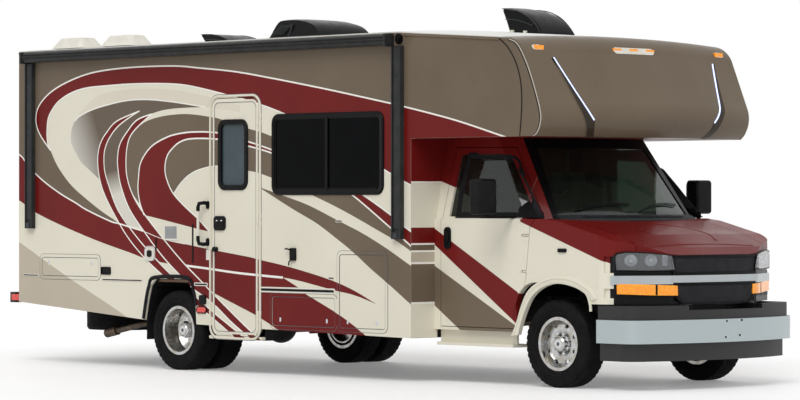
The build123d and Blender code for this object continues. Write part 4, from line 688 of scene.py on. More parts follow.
def paint_film(name, outline, holes, layers, ground, body, place):
    """The painted skin of a flat panel: its outline less its holes, each patch in its topmost layer's paint."""
    flat, tris, middle, keep = cut_plane(outline, holes, [shape for _, shape in layers])
    marks = np.full(len(tris), FILM_NAMES.index(ground))
    for paint, shape in layers:
        marks[inside(middle, shape)] = FILM_NAMES.index(paint)
    corners = flat[tris]
    area = np.abs(np.cross(corners[:, 1] - corners[:, 0], corners[:, 2] - corners[:, 0])) / 2
    keep &= area > SLIVER
    used = sorted(set(marks[keep].tolist()))
    made = Build()
    made.verts = [place(x, z, SKIN) for x, z in flat]
    made.faces = [list(map(int, t)) for t in tris[keep]]
    made.marks = [used.index(int(m)) for m in marks[keep]]
    rim_mark, back = made.marks[0], {}
    for start, end in open_edges(made.faces):
        for v in (start, end):
            if v not in back:
                back[v] = len(made.verts)
                made.verts.append(place(*flat[v], SKIN_BACK))
        made.faces.append([end, start, back[start], back[end]])
        made.marks.append(rim_mark)
    made.make(name, body, "coach_paint", [FILM[FILM_NAMES[i]] for i in used])


# ---- outlines of the flat panels ----
ROOF_BREAK_X = FRONT_X - 0.15                 # the roof falls from here to the cap
CAP_TOP = (2.652, 2.878)                      # where the roof's edge meets the cap
SEAM = [(2.658, 2.874), (2.75, 2.804), (2.842, 2.677), (2.899, 2.511), (2.91, 2.304), (2.887, 2.07)]
SKIRT = [(FRONT_X, 0.377), (-0.349, 0.407), (-1.199, 0.425), (-1.946, 0.449), (REAR_X, 0.576)]
ARCH = [(-0.446, -0.1), (-0.446, 0.094), (-0.410, 0.257), (-0.365, 0.398), (-0.290, 0.466),
        (0.155, 0.470), (0.239, 0.366), (0.281, 0.229), (0.301, -0.1)]      # about the rear axle
WALL = [(REAR_X, ROOF_EDGE_Z), (ROOF_BREAK_X, ROOF_EDGE_Z)] + SEAM + [(FRONT_X, SEAM[-1][1])] + SKIRT
ARCH_HOLE = [(REAR_AXLE_X + x, WHEEL_Z + z) for x, z in ARCH]
CORNER_R = 0.07               # of a window
LID_R, DOOR_R, PANE_R = 0.024, 0.084, 0.05
EDGE = 0.006                  # shut gap round a door or lid
WINDOW_LAP = 0.012            # the paint runs in under a window's frame


def side_panel(node):
    """Box (x0, x1, z0, z1) of a part, seen from the side."""
    low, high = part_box(node)
    return low.x, high.x, low.z, high.z


DOOR = side_panel("entry_door")
DOOR = (DOOR[0], DOOR[1] - LEAF_ROOM, *DOOR[2:])
ENTRY_PANE = side_panel("entry_glass")
BIG_WINDOW = (-0.160, FRONT_X - 0.345, 1.605, 2.295)
LEFT_WINDOWS = [(REAR_X + 0.6, REAR_X + 1.35, 1.605, 2.205), (FRONT_X - 1.96, FRONT_X - 0.62, 1.605, 2.305)]
REAR_WINDOW = (-0.56, 0.56, 1.56, 2.11)
RIGHT_LIDS = ("baggage_lid_rear", "baggage_lid_middle", "baggage_lid_front")
LEFT_LID = "baggage_lid_left"


def window_hole(window):
    return rounded(*spread(window, -WINDOW_LAP), CORNER_R)


def shut_gap(panel, radius=LID_R):
    return rounded(*spread(panel, EDGE), radius + EDGE)


def add_paint():
    """Paint films of both sides: the walls, the entry door and the baggage lids."""
    layers = side_graphics()
    for side, windows, lids in (("right", [BIG_WINDOW], RIGHT_LIDS), ("left", LEFT_WINDOWS, (LEFT_LID,))):
        place = right_side if side == "right" else left_side
        holes = [ARCH_HOLE] + [window_hole(window) for window in windows]
        if side == "right":
            holes.append(shut_gap(DOOR, DOOR_R))
        holes += [shut_gap(side_panel(lid)) for lid in lids]
        paint_film("wall_paint_" + side, WALL, holes, layers, "taupe", "coach", place)
        if side == "right":
            pane = rounded(*spread(ENTRY_PANE, 0.01), PANE_R)
            paint_film("door_paint", rounded(*DOOR, DOOR_R), [pane], layers, "cream", "entry_door_body", place)
        for lid in lids:
            paint_film(lid + "_paint", rounded(*side_panel(lid), LID_R), [], layers, "cream", lid + "_body", place)


BAND_HALF = 1.4               # bands run past both edges of an end wall
REAR_BANDS = [("taupe", 154.8), ("white", 156.4), ("red", 200.8), ("white", 202.2), ("cream", 243.5)]
CORNER_BANDS = [("red", 181.3), ("white", 182.6), ("cream", 227.6), ("red", 243.2), ("white", 245.0),
                ("taupe", 250.4), ("white", 252.2), ("beige", 262.2), ("white", 264.2), ("taupe", 302.2),
                ("white", 304.2), ("cream", 345)]


def end_bands(levels):
    """Straight bands across an end wall: (paint, lower z) from the top down."""
    bands, top = [], ROOF_EDGE_Z + 0.1
    for paint, foot in levels:
        bands.append((paint, slab(-BAND_HALF, BAND_HALF, foot, top)))
        top = foot
    return bands


def add_end_paint():
    """Rear wall, and the narrow walls that face forward beside the cab."""
    low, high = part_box("wall_rear")
    bands = end_bands([(paint, on_side(20.6, v)[1]) for paint, v in REAR_BANDS] + [("beige", 0.5)])
    paint_film("rear_paint", slab(-SIDE_Y, SIDE_Y, low.z, high.z), [window_hole(REAR_WINDOW)], bands, "taupe",
               "coach", rear_face)
    bands = end_bands([(paint, on_front(414, v, FRONT_X)[1]) for paint, v in CORNER_BANDS])
    foot, top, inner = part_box("partition")[0].z + 0.002, 2.068, CAB_Y - 0.04
    for side, name in RIGHT_LEFT:
        outline = [(inner, foot), (SIDE_Y, foot), (SIDE_Y, top), (0.82, top), (0.93, 1.42), (inner, 1.38)]
        paint_film("corner_paint_" + name, [(side * y, z) for y, z in outline], [], bands, "red", "coach",
                   corner_face)


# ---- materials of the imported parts, by slot ----
BODY_SPLIT_X = 2.62           # the cab's stripes end behind the front wheel
FRIT_AND_SHADE_PLANE = ((0.441, -0.865, 0.152), 0.728)      # black round the windshield, its own black edge and painted shade on the header under the over-cab: normal, level
BELT_Z = 1.39                 # foot of the cab's windows


def cab_side_shade():
    """Cab body: red above, cream door and fender with a red band, taupe below, split by lines on the side."""
    shade = Shade("paint_cab", CREAM, PAINT_ROUGH, **GLOSS)

    def in_front(normal, level):
        """1 on the forward side of a plane, with the left half folded onto the right."""
        parts = shade.node("ShaderNodeVectorMath", operation="ABSOLUTE")
        shade.links.new(shade.place(), parts.inputs[0])
        return shade.dot(parts.outputs[0], normal, level - 0.001, level + 0.001)

    def split(start, end):
        return shade.beyond(*on_side(*start, y=-CAB_Y), *on_side(*end, y=-CAB_Y))

    def all_of(first, *masks):
        for mask in masks:
            first = shade.math("MULTIPLY", first, mask)
        return first

    def none_of(mask):
        return shade.math("SUBTRACT", 1.0, mask)

    belt_rear = split((434, 181.5), (458, 191.5))
    belt_front = split((519, 221.5), (612, 266.5))
    front_half = shade.along("X", BODY_SPLIT_X, BODY_SPLIT_X + 0.003)
    upper = shade.math("MAXIMUM", all_of(belt_rear, none_of(front_half)), all_of(belt_front, front_half))
    behind_wheel = none_of(shade.along("X", BODY_SPLIT_X + 0.01, BODY_SPLIT_X + 0.013))
    value = CREAM
    for start, end, code in (((434, 228.5), (524, 297.5), RED), ((443, 253.5), (517, 325), CREAM),
                             ((433, 265), (516, 326.5), TAUPE), ((433, 304.5), (463, 333.5), CREAM)):
        value = shade.mix(all_of(none_of(split(start, end)), behind_wheel), value, code)
    value = shade.mix(upper, value, RED)
    # black round the windshield: the glass's black edge, and painted shade on the header under the over-cab
    frit_and_shade = all_of(in_front(*FRIT_AND_SHADE_PLANE), shade.along("Z", BELT_Z + 0.002, BELT_Z + 0.004))
    value = shade.mix(frit_and_shade, value, "0C0C0E")
    nose_inside = all_of(none_of(in_front((0.0, 1.0, 0.0), 0.955)), shade.along("X", 2.50, 2.51),
                         none_of(shade.along("Z", 1.10, 1.11)))
    return shade.paint(shade.mix(nose_inside, value, "101012")).lacquered()


def bumper_shade():
    """Front bumper: black pad on top, bright metal face, black air dam below."""
    shade = Shade("bumper_metal", "B9C2C8", 0.24)
    pad = shade.along("Z", 0.573, 0.576)
    dam = shade.math("SUBTRACT", 1.0, shade.along("Z", 0.383, 0.386))
    black = shade.math("MAXIMUM", pad, dam)
    shade.paint(shade.mix(black, "AEB8BA", "141416"))
    shade.links.new(shade.remap(black, 0.85, 0.0, 0.0, 1.0), shade.shader.inputs["Metallic"])
    shade.links.new(shade.remap(black, 0.24, 0.5, 0.0, 1.0), shade.shader.inputs["Roughness"])
    return shade.grain(350, 0.00008).material


def membrane():
    shade = Shade("roof_membrane", "EFEFEC", 0.6).blotch("F1F1EE", "E2E1DC", 1.6)
    return shade.coat_of_wear(4, 0.1).grain(420, 0.0003).material


def wood():
    shade = Shade("floor_boards", "8A6544", 0.45)
    shade.paint(shade.mix(shade.remap(shade.noise(6, 6, (0.15, 2.5, 1)), 0.0, 1.0), "8A6544", "5F432B"))
    return shade.coat_of_wear(7, 0.1).grain(60, 0.0004, 4, (0.1, 3, 1)).material


def tyre_rubber():
    shade = Shade("tyre_rubber", "121213", 0.72, Specular_IOR_Level=0.08).blotch("101011", "191818", 12)
    return shade.coat_of_wear(30, 0.1).grain(500, 0.0003).material


def partition_shade():
    """The wall behind the cab: banded as the narrow walls beside the cab."""
    shade = Shade("paint_partition", RED, 0.4, **GLOSS)
    value = shade.mix(shade.along("Z", 1.792, 1.795), CREAM, RED)
    shade.paint(shade.mix(shade.along("Z", 1.394, 1.397), "2A2A2C", value))
    return shade.grain(160, 0.00006).material


FINISH = {
    "coach_paint": PAINTS["cream"], "cap_paint": PAINTS["taupe"], "hood_paint": PAINTS["red"],
    "cab_paint": cab_side_shade(), "roof_white": membrane(), "floor_wood": wood(), "tyre": tyre_rubber(),
    "black_plastic": BLACK_PLASTIC, "black_frame": BLACK_TRIM, "white_plastic": WHITE_TRIM,
    "lamp_lens": CLEAR_LENS, "lamp_amber": AMBER, "lamp_red": RED_LENS, "dark_glass": DARK_GLASS,
    "nose_silver": NOSE_SILVER, "bumper_silver": bumper_shade(),
    "cab_glass": glass("cab_glass", "66756C", 0.03, 0.94),
    "seat_fabric": woven("seat_weave", "6C655C", "575048"),
    "step_plastic": plastic("step_plastic", "26262A", "2E2E31", 0.55),
    "awning_case": plastic("awning_case", "2E2F2F", "383938", 0.4, 500, 0.00005),
    "vent_plastic": plastic("vent_black", "1A1B1D", "222326", 0.4),
    "tank_plastic": plastic("tank_plastic", "3A3B3D", "444547", 0.6),
    "dash_plastic": plastic("dash_plastic", "6E756C", "646B62", 0.6),
    "box_plastic": plastic("box_plastic", "2A2B2D", "333436", 0.65),
    "frame_black": metal("frame_black", "151515", "211F1D", 0.55, 250, 0.0003, 0.3),
    "engine_iron": metal("engine_iron", "3A3A3A", "2A2826", 0.6, 200, 0.0004, 0.6),
    "rim_silver": metal("rim_steel", "C2C4C6", "AFA99F", 0.26, 300, 0.0001),
    "exhaust_steel": metal("exhaust_steel", "4B4641", "6A5A4B", 0.5, 120, 0.0003),
}
NODE_FINISH = {"partition": partition_shade(), "entry_glass": PANE_GLASS, "head_lamps": LAMP_DARK}


def dress_nodes():
    """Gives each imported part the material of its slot, or its own."""
    for part in frame["record"]["subparts"]:
        node = part["node"]
        mesh = frame["nodes"][node].data
        mesh.materials.clear()
        mesh.materials.append(NODE_FINISH.get(node) or FINISH[part["material_slot"]])


# ---- coach windows, entry door, lids and wall fittings ----
def spot(u0, v0, u1, v1):
    """Box (x0, x1, z0, z1) on the right wall behind a box of pixels."""
    u, v = (u0 + u1) / 2, (v0 + v1) / 2
    return on_side(u0, v)[0], on_side(u1, v)[0], on_side(u, v1)[1], on_side(u, v0)[1]


GASKET = [(-0.030, 0.0), (-0.030, 0.012), (-0.022, 0.017), (0.004, 0.017), (0.012, 0.010), (0.014, 0.0)]
SASH_IN, SASH_R = 0.028, 0.045                # the sliding panes' frame within a window
SASH = [(-0.012, -0.004), (-0.012, 0.006), (0.002, 0.008), (0.004, -0.004)]


def ridge(half, rise):
    """Profile of a square-edged line."""
    return [(-half, 0.0), (-half, rise), (half, rise), (half, 0.0)]


def wall_windows():
    """Rubber gaskets, the sliding panes' bars and the sills of the coach windows."""
    build = Build()
    places = [(BIG_WINDOW, right_side)] + [(w, left_side) for w in LEFT_WINDOWS] + [(REAR_WINDOW, rear_face)]
    for window, place in places:
        build.sweep(rounded(*window, CORNER_R), place, GASKET)
        x0, x1, z0, z1 = spread(window, -SASH_IN)
        build.sweep(rounded(x0, x1, z0, z1, SASH_R), place, SASH)
        middle = (x0 + x1) / 2 + 0.01
        build.prism(slab(middle - 0.006, middle + 0.006, z0, z1), place, -0.002, 0.003)
        build.prism(slab(x0 + 0.05, x1 - 0.05, z0 + 0.012, z0 + 0.02), place, -0.002, 0.009)
    build.make("window_gaskets", "coach", "black_frame", BLACK_TRIM, smooth=True)


THIN_RING = ridge(0.0025, 0.0022)
FRAME_RING = [(0.0, 0.0), (0.0, 0.008), (0.004, 0.011), (0.014, 0.011), (0.019, 0.007), (0.020, 0.0)]
EDGE_RING = [(-0.022, 0.0), (-0.020, 0.004), (-0.003, 0.004), (0.0, 0.0)]
PANE_RING = [(-0.012, -0.012), (-0.012, 0.008), (-0.004, 0.014), (0.030, 0.014), (0.036, 0.008), (0.036, 0.0)]


def entry_trim():
    """Frame round the entry door, with its grey line, and the door's own edge strip with a grey line inside it,
    and the pane frame. The grey lines are partly rubber, partly painted shade along these edges.
    """
    cream, leaf = PAINTS["cream"], "entry_door_body"
    # the two grey rings: partly a rubber line, partly painted shade where the frame's and the strip's edges drop
    for name, body, by, radius_by, profile, slot, shade in (
            ("entry_frame", "coach", 0.014, 0.012, FRAME_RING, "coach_paint", cream),
            ("entry_frame_shade_line", "coach", 0.0365, 0.03, THIN_RING, "black_frame", GREY_LINE),
            ("entry_door_edge", leaf, -0.012, -0.012, EDGE_RING, "coach_paint", cream),
            ("entry_door_shade_line", leaf, -0.036, -0.03, THIN_RING, "black_frame", GREY_LINE)):
        ring = rounded(*spread(DOOR, by), DOOR_R + radius_by, 8)
        Build().sweep(ring, right_side, profile).make(name, body, slot, shade, smooth=True)
    pane = Build().sweep(rounded(*ENTRY_PANE, PANE_R), right_side, PANE_RING)
    pane.make("entry_pane_frame", leaf, "black_frame", BLACK_TRIM, smooth=True)


FLANGE_REACH = 0.034          # how far a lid's frame goes beyond the lid
LATCH_RING = [(-0.006, 0.001), (-0.005, 0.006), (0.0, 0.003), (0.0, SKIN)]


def lid_flanges():
    """Raised frame round each baggage lid, painted as the wall, with a rubber line and two latches on the lid."""
    layers = side_graphics()
    seals = Build()
    for lid, side in [(name, right_side) for name in RIGHT_LIDS] + [(LEFT_LID, left_side)]:
        panel = side_panel(lid)
        corner = LID_R + FLANGE_REACH
        paint_film(lid + "_flange", rounded(*spread(panel, FLANGE_REACH), corner), [shut_gap(panel)], layers,
                   "cream", "coach", lambda a, b, h, side=side: side(a, b, h + 0.003 if h == SKIN else h))
        seals.sweep(rounded(*spread(panel, FLANGE_REACH + 0.002), corner), side, ridge(0.0015, 0.003))
        seals.sweep(rounded(*spread(panel, 0.003), LID_R + 0.003), side, ridge(0.002, 0.0015))
        latch = Build()
        x0, x1, z0, z1 = panel
        for x in (x0 + 0.10, x1 - 0.10):
            z = z1 - 0.05 if lid == "baggage_lid_rear" else z0 + 0.05
            latch.sweep(rounded(x - 0.012, x + 0.012, z - 0.02, z + 0.02, 0.011), side, LATCH_RING)
            latch.prism(rounded(x - 0.008, x + 0.008, z - 0.016, z + 0.016, 0.007), side, SKIN, 0.004)
        latch.make(lid + "_latches", lid + "_body", "nose_silver", CHROME, smooth=True)
    seals.make("lid_seals", "coach", "black_frame", GREY_LINE, smooth=True)


PALE, DARK, GREY, BRIGHT = range(4)           # marks of the wall fittings' materials
LOUVRES = spot(164.5, 225, 178, 240)
LOUVRE_ROWS = 9
LOUVRE_FRAME = [(-0.012, 0.0), (-0.012, 0.006), (0.0, 0.008), (0.004, 0.0)]
DARK_STRIPS = (spot(192.2, 224, 193.6, 263), spot(155.4, 238, 156.8, 251))
INLET = spot(145.5, 246, 155.3, 261)
INLET_RIM = [(-0.004, 0.012), (-0.002, 0.016), (0.002, 0.016), (0.004, 0.012)]
SOCKET = spot(101.5, 267, 111, 274.5)
SOCKET_RIM = [(-0.008, 0.004), (-0.006, 0.012), (0.0, 0.012), (0.002, 0.004)]
WALL_SLOTS = (spot(24, 273.8, 39, 276.2), spot(102.5, 278.8, 142.5, 281.2), spot(194.5, 282.6, 208, 286),
              spot(336, 219.8, 342.5, 222.4), spot(328.5, 276.8, 334.5, 279.6), spot(260.5, 287.6, 335.5, 293.2))
DARK_PLATE = spot(200, 295, 206.5, 304.5)
PALE_PLATE = spot(206.3, 249.5, 210, 260)
REFLECTOR = spot(197, 306.5, 206.8, 313)
REFLECTOR_RIM = [(-0.006, 0.008), (-0.004, 0.012), (0.004, 0.01), (0.006, 0.0)]


def slot_moulding(build, box, height=0.006):
    """A dark slot in a pale frame."""
    tall = box[3] - box[2]
    build.prism(rounded(*box, tall * 0.45, 4), right_side, 0.0, height, PALE)
    slit = rounded(*spread(box, -tall * 0.28), tall * 0.2, 3)
    build.prism(slit, right_side, height - 0.001, height + 0.001, DARK)


def side_fittings():
    """Vents, slots, water and power inlets and the marker on the right wall."""
    build = Build()
    x0, x1, z0, z1 = LOUVRES
    build.sweep(rounded(*LOUVRES, 0.012, 3), right_side, LOUVRE_FRAME, mark=PALE)
    step = (z1 - z0 - 0.024) / LOUVRE_ROWS
    for i in range(LOUVRE_ROWS):
        low = z0 + 0.012 + step * i
        blade = ((low, 0.007), (low + step, 0.0015), (low, SKIN))
        build.add([right_side(x, z, h) for x in (x0 + 0.01, x1 - 0.01) for z, h in blade],
                  [(0, 3, 4, 1), (0, 2, 5, 3), (0, 1, 2), (3, 5, 4)], GREY)
    for box in DARK_STRIPS:
        build.prism(rounded(*box, 0.006, 3), right_side, 0.0, 0.004, DARK)
    build.prism(rounded(*INLET, 0.045, 6), right_side, 0.0, 0.012, PALE)
    build.sweep(rounded(*spread(INLET, -0.006), 0.04, 6), right_side, INLET_RIM, mark=BRIGHT)
    build.prism(rounded(*spread(INLET, -0.038), 0.02, 5), right_side, 0.012, 0.018, DARK)
    build.prism(rounded(*SOCKET, 0.006, 2), right_side, 0.0, 0.004, DARK)
    build.sweep(rounded(*SOCKET, 0.008, 2), right_side, SOCKET_RIM, mark=DARK)
    for box in WALL_SLOTS:
        slot_moulding(build, box)
    build.prism(rounded(*DARK_PLATE, 0.02, 4), right_side, 0.0, 0.016, DARK)
    build.prism(rounded(*PALE_PLATE, 0.004, 2), right_side, 0.0, 0.003, PALE)
    build.make("side_fittings", "coach", "white_plastic", [WHITE_TRIM, BLACK_PLASTIC, GREY_LOUVRE, CHROME],
               bevel=0.0008)
    # the reflector's red lens glows faintly: a painted glow, since a reflector gives no light of its own
    outline = rounded(*REFLECTOR, (REFLECTOR[3] - REFLECTOR[2]) * 0.49, 7)
    oval = Build().prism(outline, right_side, 0.0, 0.009).sweep(outline, right_side, REFLECTOR_RIM, mark=1)
    oval.make("side_reflector", "coach", "lamp_red", [RED_LENS, BLACK_PLASTIC], bevel=0.001)


def awning_hook():
    """Latch hook on the wall in front of the entry door, and the two small hooks by it."""
    build = Build()
    x0, x1, z0, z1 = spot(291, 248, 296.5, 263)
    build.prism(rounded(x0, x1, z0 + 0.02, z1, 0.01, 3), right_side, 0.0, 0.02)
    top_x = on_side(287.5, 249)[0]
    build.tube([right_side(x0 + 0.02, z1 - 0.02, 0.02), right_side((x0 + top_x) / 2, z1 - 0.005, 0.035),
                right_side(top_x, z1 - 0.01, 0.03)], 0.007)
    build.tube([right_side((x0 + x1) / 2, z0 + 0.04, 0.018), right_side(x0 + 0.005, z0 + 0.01, 0.03),
                right_side(x0 - 0.01, z0 - 0.02, 0.02)], 0.006)
    build.make("wall_hook", "coach", "black_plastic", BLACK_PLASTIC, bevel=0.002)


CATCH = [(0.0, -0.045), (0.016, -0.044), (0.024, -0.034), (0.022, -0.016), (0.016, -0.008), (0.024, 0.0)]


def entry_hardware():
    """Latch and knob on the entry door, and the grab handle beside it."""
    latch = Build()
    x0, x1, z0, z1 = spot(214.5, 216, 226, 230.5)
    latch.prism(rounded(x0, x1, z0, z1, 0.035, 5), right_side, 0.0, 0.014)
    latch.prism(rounded(x0 + 0.02, x1 - 0.02, z0 + 0.02, z1 - 0.045, 0.02, 4), right_side, 0.012, 0.017)
    for x in (x0 + 0.045, x1 - 0.05):
        latch.turned([(0.0, -0.017), (0.009, -0.017), (0.011, -0.014)], (x, -SIDE_Y, z1 - 0.045), "y", 16, 1)
    latch.make("entry_latch", "entry_door_body", "black_plastic", [BLACK_PLASTIC, CHROME], bevel=0.002)
    x0, x1, z0, z1 = spot(214.6, 245.5, 218.6, 253)
    knob = Build().turned(CATCH, ((x0 + x1) / 2, -SIDE_Y, (z0 + z1) / 2), "y", 24)
    knob.make("entry_catch", "entry_door_body", "black_plastic", BLACK_PLASTIC, smooth=True)
    handle = Build()
    x, z_low, z_high = on_side(203.4, 205)[0], on_side(203, 242)[1], on_side(203, 205)[1]
    base_x = on_side(208.6, 205)[0]
    for z, way in ((z_high, 1), (z_low, -1)):
        foot = rounded(base_x - 0.026, base_x + 0.026, z - 0.035, z + 0.035, 0.02, 4)
        handle.prism(foot, right_side, 0.0, 0.012)
        handle.tube([right_side(base_x, z + way * 0.012, 0.004), right_side(base_x - 0.01, z + way * 0.02, 0.045),
                     right_side(x + 0.012, z + way * 0.014, 0.062), right_side(x, z - way * 0.02, 0.064),
                     right_side(x, z - way * 0.055, 0.064)], 0.017, 14)
    handle.tube([right_side(x, z_low + 0.02, 0.064), right_side(x, z_high - 0.02, 0.064)], 0.0125, 16, 1)
    handle.make("grab_handle", "coach", "black_plastic", [BLACK_PLASTIC, WHITE_TRIM], smooth=True)


ARCH_LIP = [(-0.030, 0.0), (-0.030, 0.010), (-0.022, 0.014), (-0.004, 0.014), (0.004, 0.008), (0.004, 0.0)]
LINER_IN = 0.985              # the liner is that much smaller than the arch


def arch_trim():
    """Rubber lip round each rear wheel arch and a dark liner over the twin tyres."""
    lip = Build()
    for place in (right_side, left_side):
        lip.sweep(curve_through(ARCH_HOLE[1:-1], steps=4), place, ARCH_LIP, closed=False)
    lip.make("arch_lips", "coach", "black_plastic", RUBBER, smooth=True)
    liner = Build()
    profile = [(REAR_AXLE_X + x * LINER_IN, WHEEL_Z + z * LINER_IN + 0.004) for x, z in ARCH]
    n = len(profile)
    for side, _ in RIGHT_LEFT:
        verts = [(x, y, z) for y in (side * (SIDE_Y - 0.02), side * 0.75) for x, z in profile]
        liner.add(verts, [(i, i + 1, n + i + 1, n + i) for i in range(n - 1)])
    shell = liner.make("arch_liners", "coach", "black_plastic", RUBBER)
    shell.modifiers.new("thickness", "SOLIDIFY").thickness = 0.004


def door_skirt():
    """Painted skirt of the step well under the entry door, with the two stripes running out over it."""
    low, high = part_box("step_well")
    outline = rounded(low.x + 0.002, high.x - 0.002, low.z + 0.004, DOOR[2] - 0.004, 0.012, 3)
    layers = [(paint, field(runs)) for paint, runs in FIELDS[-2:]]
    paint_film("step_skirt", outline, [], layers, "cream", "coach",
               lambda a, b, h: right_side(a, b, -0.002 if h == SKIN else -0.044))


ARM_TOP = 2.85
ARM_SPANS = [(REAR_X + 0.147, REAR_X + 0.257, 1.280), (FRONT_X - 0.200, FRONT_X - 0.085, 1.216)]
END_CUP = [(0.0, 0.018), (0.020, 0.018), (0.026, 0.013), (0.044, 0.013), (0.048, 0.006)]


def awning_dress():
    """Bright edge lines of the awning's arms (a painted highlight), the roller's ribs and its end cups."""
    low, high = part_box("awning")
    lines = Build()
    for x0, x1, z0 in ARM_SPANS:
        middle = (x0 + x1) / 2
        # lighter lines along both edges of each arm: a painted highlight
        for x in (x0 + 0.004, x1 - 0.010):
            lines.prism(slab(x, x + 0.005, z0 + 0.01, ARM_TOP), right_side, 0.0455, 0.0475)
        foot = rounded(middle - 0.02, middle + 0.02, z0 + 0.01, z0 + 0.05, 0.008, 3)
        lines.prism(foot, right_side, 0.045, 0.051)
        for z in (z0 + 0.3, z0 + 0.9, z0 + 1.4):
            lines.turned([(0.0, -0.046), (0.006, -0.046), (0.009, -0.041)], (middle, -SIDE_Y, z), "y", 12)
    lines.make("awning_arm_lines", "coach", "awning_case", ARM_STEEL_AND_HIGHLIGHT, smooth=True)
    ribs = Build()
    for z in (high.z - 0.030, high.z - 0.062):
        ribs.prism(slab(low.x + 0.03, high.x - 0.03, z - 0.0015, z + 0.0015), right_side, 0.104, 0.1135)
    for x, way in ((low.x + 0.012, -1), (high.x - 0.012, 1)):
        ribs.turned([(r, way * along) for r, along in END_CUP], (x, -SIDE_Y - 0.058, high.z - 0.052), "x", 24)
    ribs.make("awning_roller_ribs", "coach", "awning_case", BLACK_TRIM, smooth=True)


HOLDER_RIM = [(-0.01, 0.0), (-0.008, 0.01), (0.0, 0.01), (0.002, 0.0)]


def rear_marks():
    """Red end markers on the rear bumper, a bare plate holder and its lamp on the rear wall."""
    low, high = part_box("rear_bumper")
    build = Build()
    for side, _ in RIGHT_LEFT:
        y0, y1 = sorted((side * (high.y + 0.004), side * (high.y - 0.11)))
        build.block(low.x + 0.02, high.x - 0.01, y0, y1, low.z + 0.02, high.z - 0.02)
    build.make("rear_markers", "coach", "lamp_red", RED_LENS, bevel=0.006)
    holder = Build().prism(rounded(-0.17, 0.17, 0.98, 1.14, 0.01, 3), rear_face, 0.0, 0.006)
    holder.sweep(rounded(-0.18, 0.18, 0.97, 1.15, 0.012, 3), rear_face, HOLDER_RIM, mark=1)
    holder.prism(rounded(-0.05, 0.05, 1.17, 1.20, 0.01, 3), rear_face, 0.0, 0.02, 1)
    holder.make("plate_holder", "coach", "white_plastic", [WHITE_TRIM, BLACK_PLASTIC], bevel=0.001)


# ---- nose: grilles, lamps and bumper ----
NOSE_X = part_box("grille")[1].x + 0.010       # foremost point of the cab's face
LAMP_CORNER = (FRONT_AXLE_X + 0.862, 0.541)
FENDER_CORNER = (FRONT_AXLE_X + 0.640, 0.945)
SIDE_END = (FRONT_AXLE_X + 0.480, 1.006)
BOW_RISE = NOSE_X - LAMP_CORNER[0]
BOW_R = (LAMP_CORNER[1] ** 2 + BOW_RISE ** 2) / (2 * BOW_RISE)
FACE = 0.0006                 # back of the pieces laid on the cab's face


def nose_x(y):
    """How far forward the cab's face stands at a distance from the centre plane."""
    y = abs(y)
    if y <= LAMP_CORNER[1]:
        return NOSE_X - BOW_R + math.sqrt(BOW_R ** 2 - y * y)
    (x0, y0), (x1, y1) = (LAMP_CORNER, FENDER_CORNER) if y <= FENDER_CORNER[1] else (FENDER_CORNER, SIDE_END)
    return x0 + (x1 - x0) * (y - y0) / (y1 - y0)


def nose_face(a, b, h):
    """A point on the cab's face, stood off by h along its normal."""
    slope = (nose_x(a + 0.002) - nose_x(a - 0.002)) / 0.004
    size = math.hypot(1, slope)
    return Vector((nose_x(a) + h / size, a - h * slope / size, b))


def on_nose(u, v):
    """(y, z) on the cab's face behind a pixel."""
    x = NOSE_X
    for _ in range(12):
        y, z = on_front(u, v, x)
        x = (x + nose_x(min(abs(y), 0.99))) / 2
    return y, z


def reach(outline):
    """Lowest and highest of both coordinates of an outline: (a0, a1, b0, b1)."""
    a, b = zip(*outline)
    return min(a), max(a), min(b), max(b)


def curved_plate(build, outline, place, h0, h1, step=0.03, mark=0, holes=()):
    """A plate that follows a bowed face: the outline cut into upright slices, with sides down to h0."""
    low, high, floor, top = reach(outline)
    cuts = [((low + i * step, floor - 0.1), (low + i * step, top + 0.1))
            for i in range(1, int((high - low) / step) + 1)]
    flat, tris, _, keep = cut_plane(outline, holes, cuts=cuts)
    tris = [tuple(map(int, tri)) for tri in tris[keep]]
    n = len(flat)
    body = [place(a, b, h1) for a, b in flat] + [place(a, b, h0) for a, b in flat]
    faces = tris + [tuple(v + n for v in tri[::-1]) for tri in tris]
    faces += [(start, end, end + n, start + n) for start, end in open_edges(tris)]
    used = sorted({v for face in faces for v in face})
    place_of = {v: i for i, v in enumerate(used)}
    return build.add([body[v] for v in used], [[place_of[v] for v in face] for face in faces], mark)


def honeycomb(build, outline, place, width, height, h0, h1, bar=0.0022, mark=0):
    """A mesh of flat hexagonal cells inside an outline."""
    low_a, high_a, b, high_b = reach(outline)
    quarter, half, tall = width / 4, width / 2, height / 2
    row = 0
    while b < high_b:
        a = low_a + (half if row % 2 else 0)
        while a < high_a:
            cell = [(a - half, b), (a - quarter, b - tall), (a + quarter, b - tall),
                    (a + half, b), (a + quarter, b + tall), (a - quarter, b + tall)]
            if inside(np.array(cell), outline).all():
                build.sweep(cell, place, [(-bar, h0), (-bar * 0.6, h1), (bar * 0.6, h1), (bar, h0)], mark=mark)
            a += width
        row += 1
        b += tall


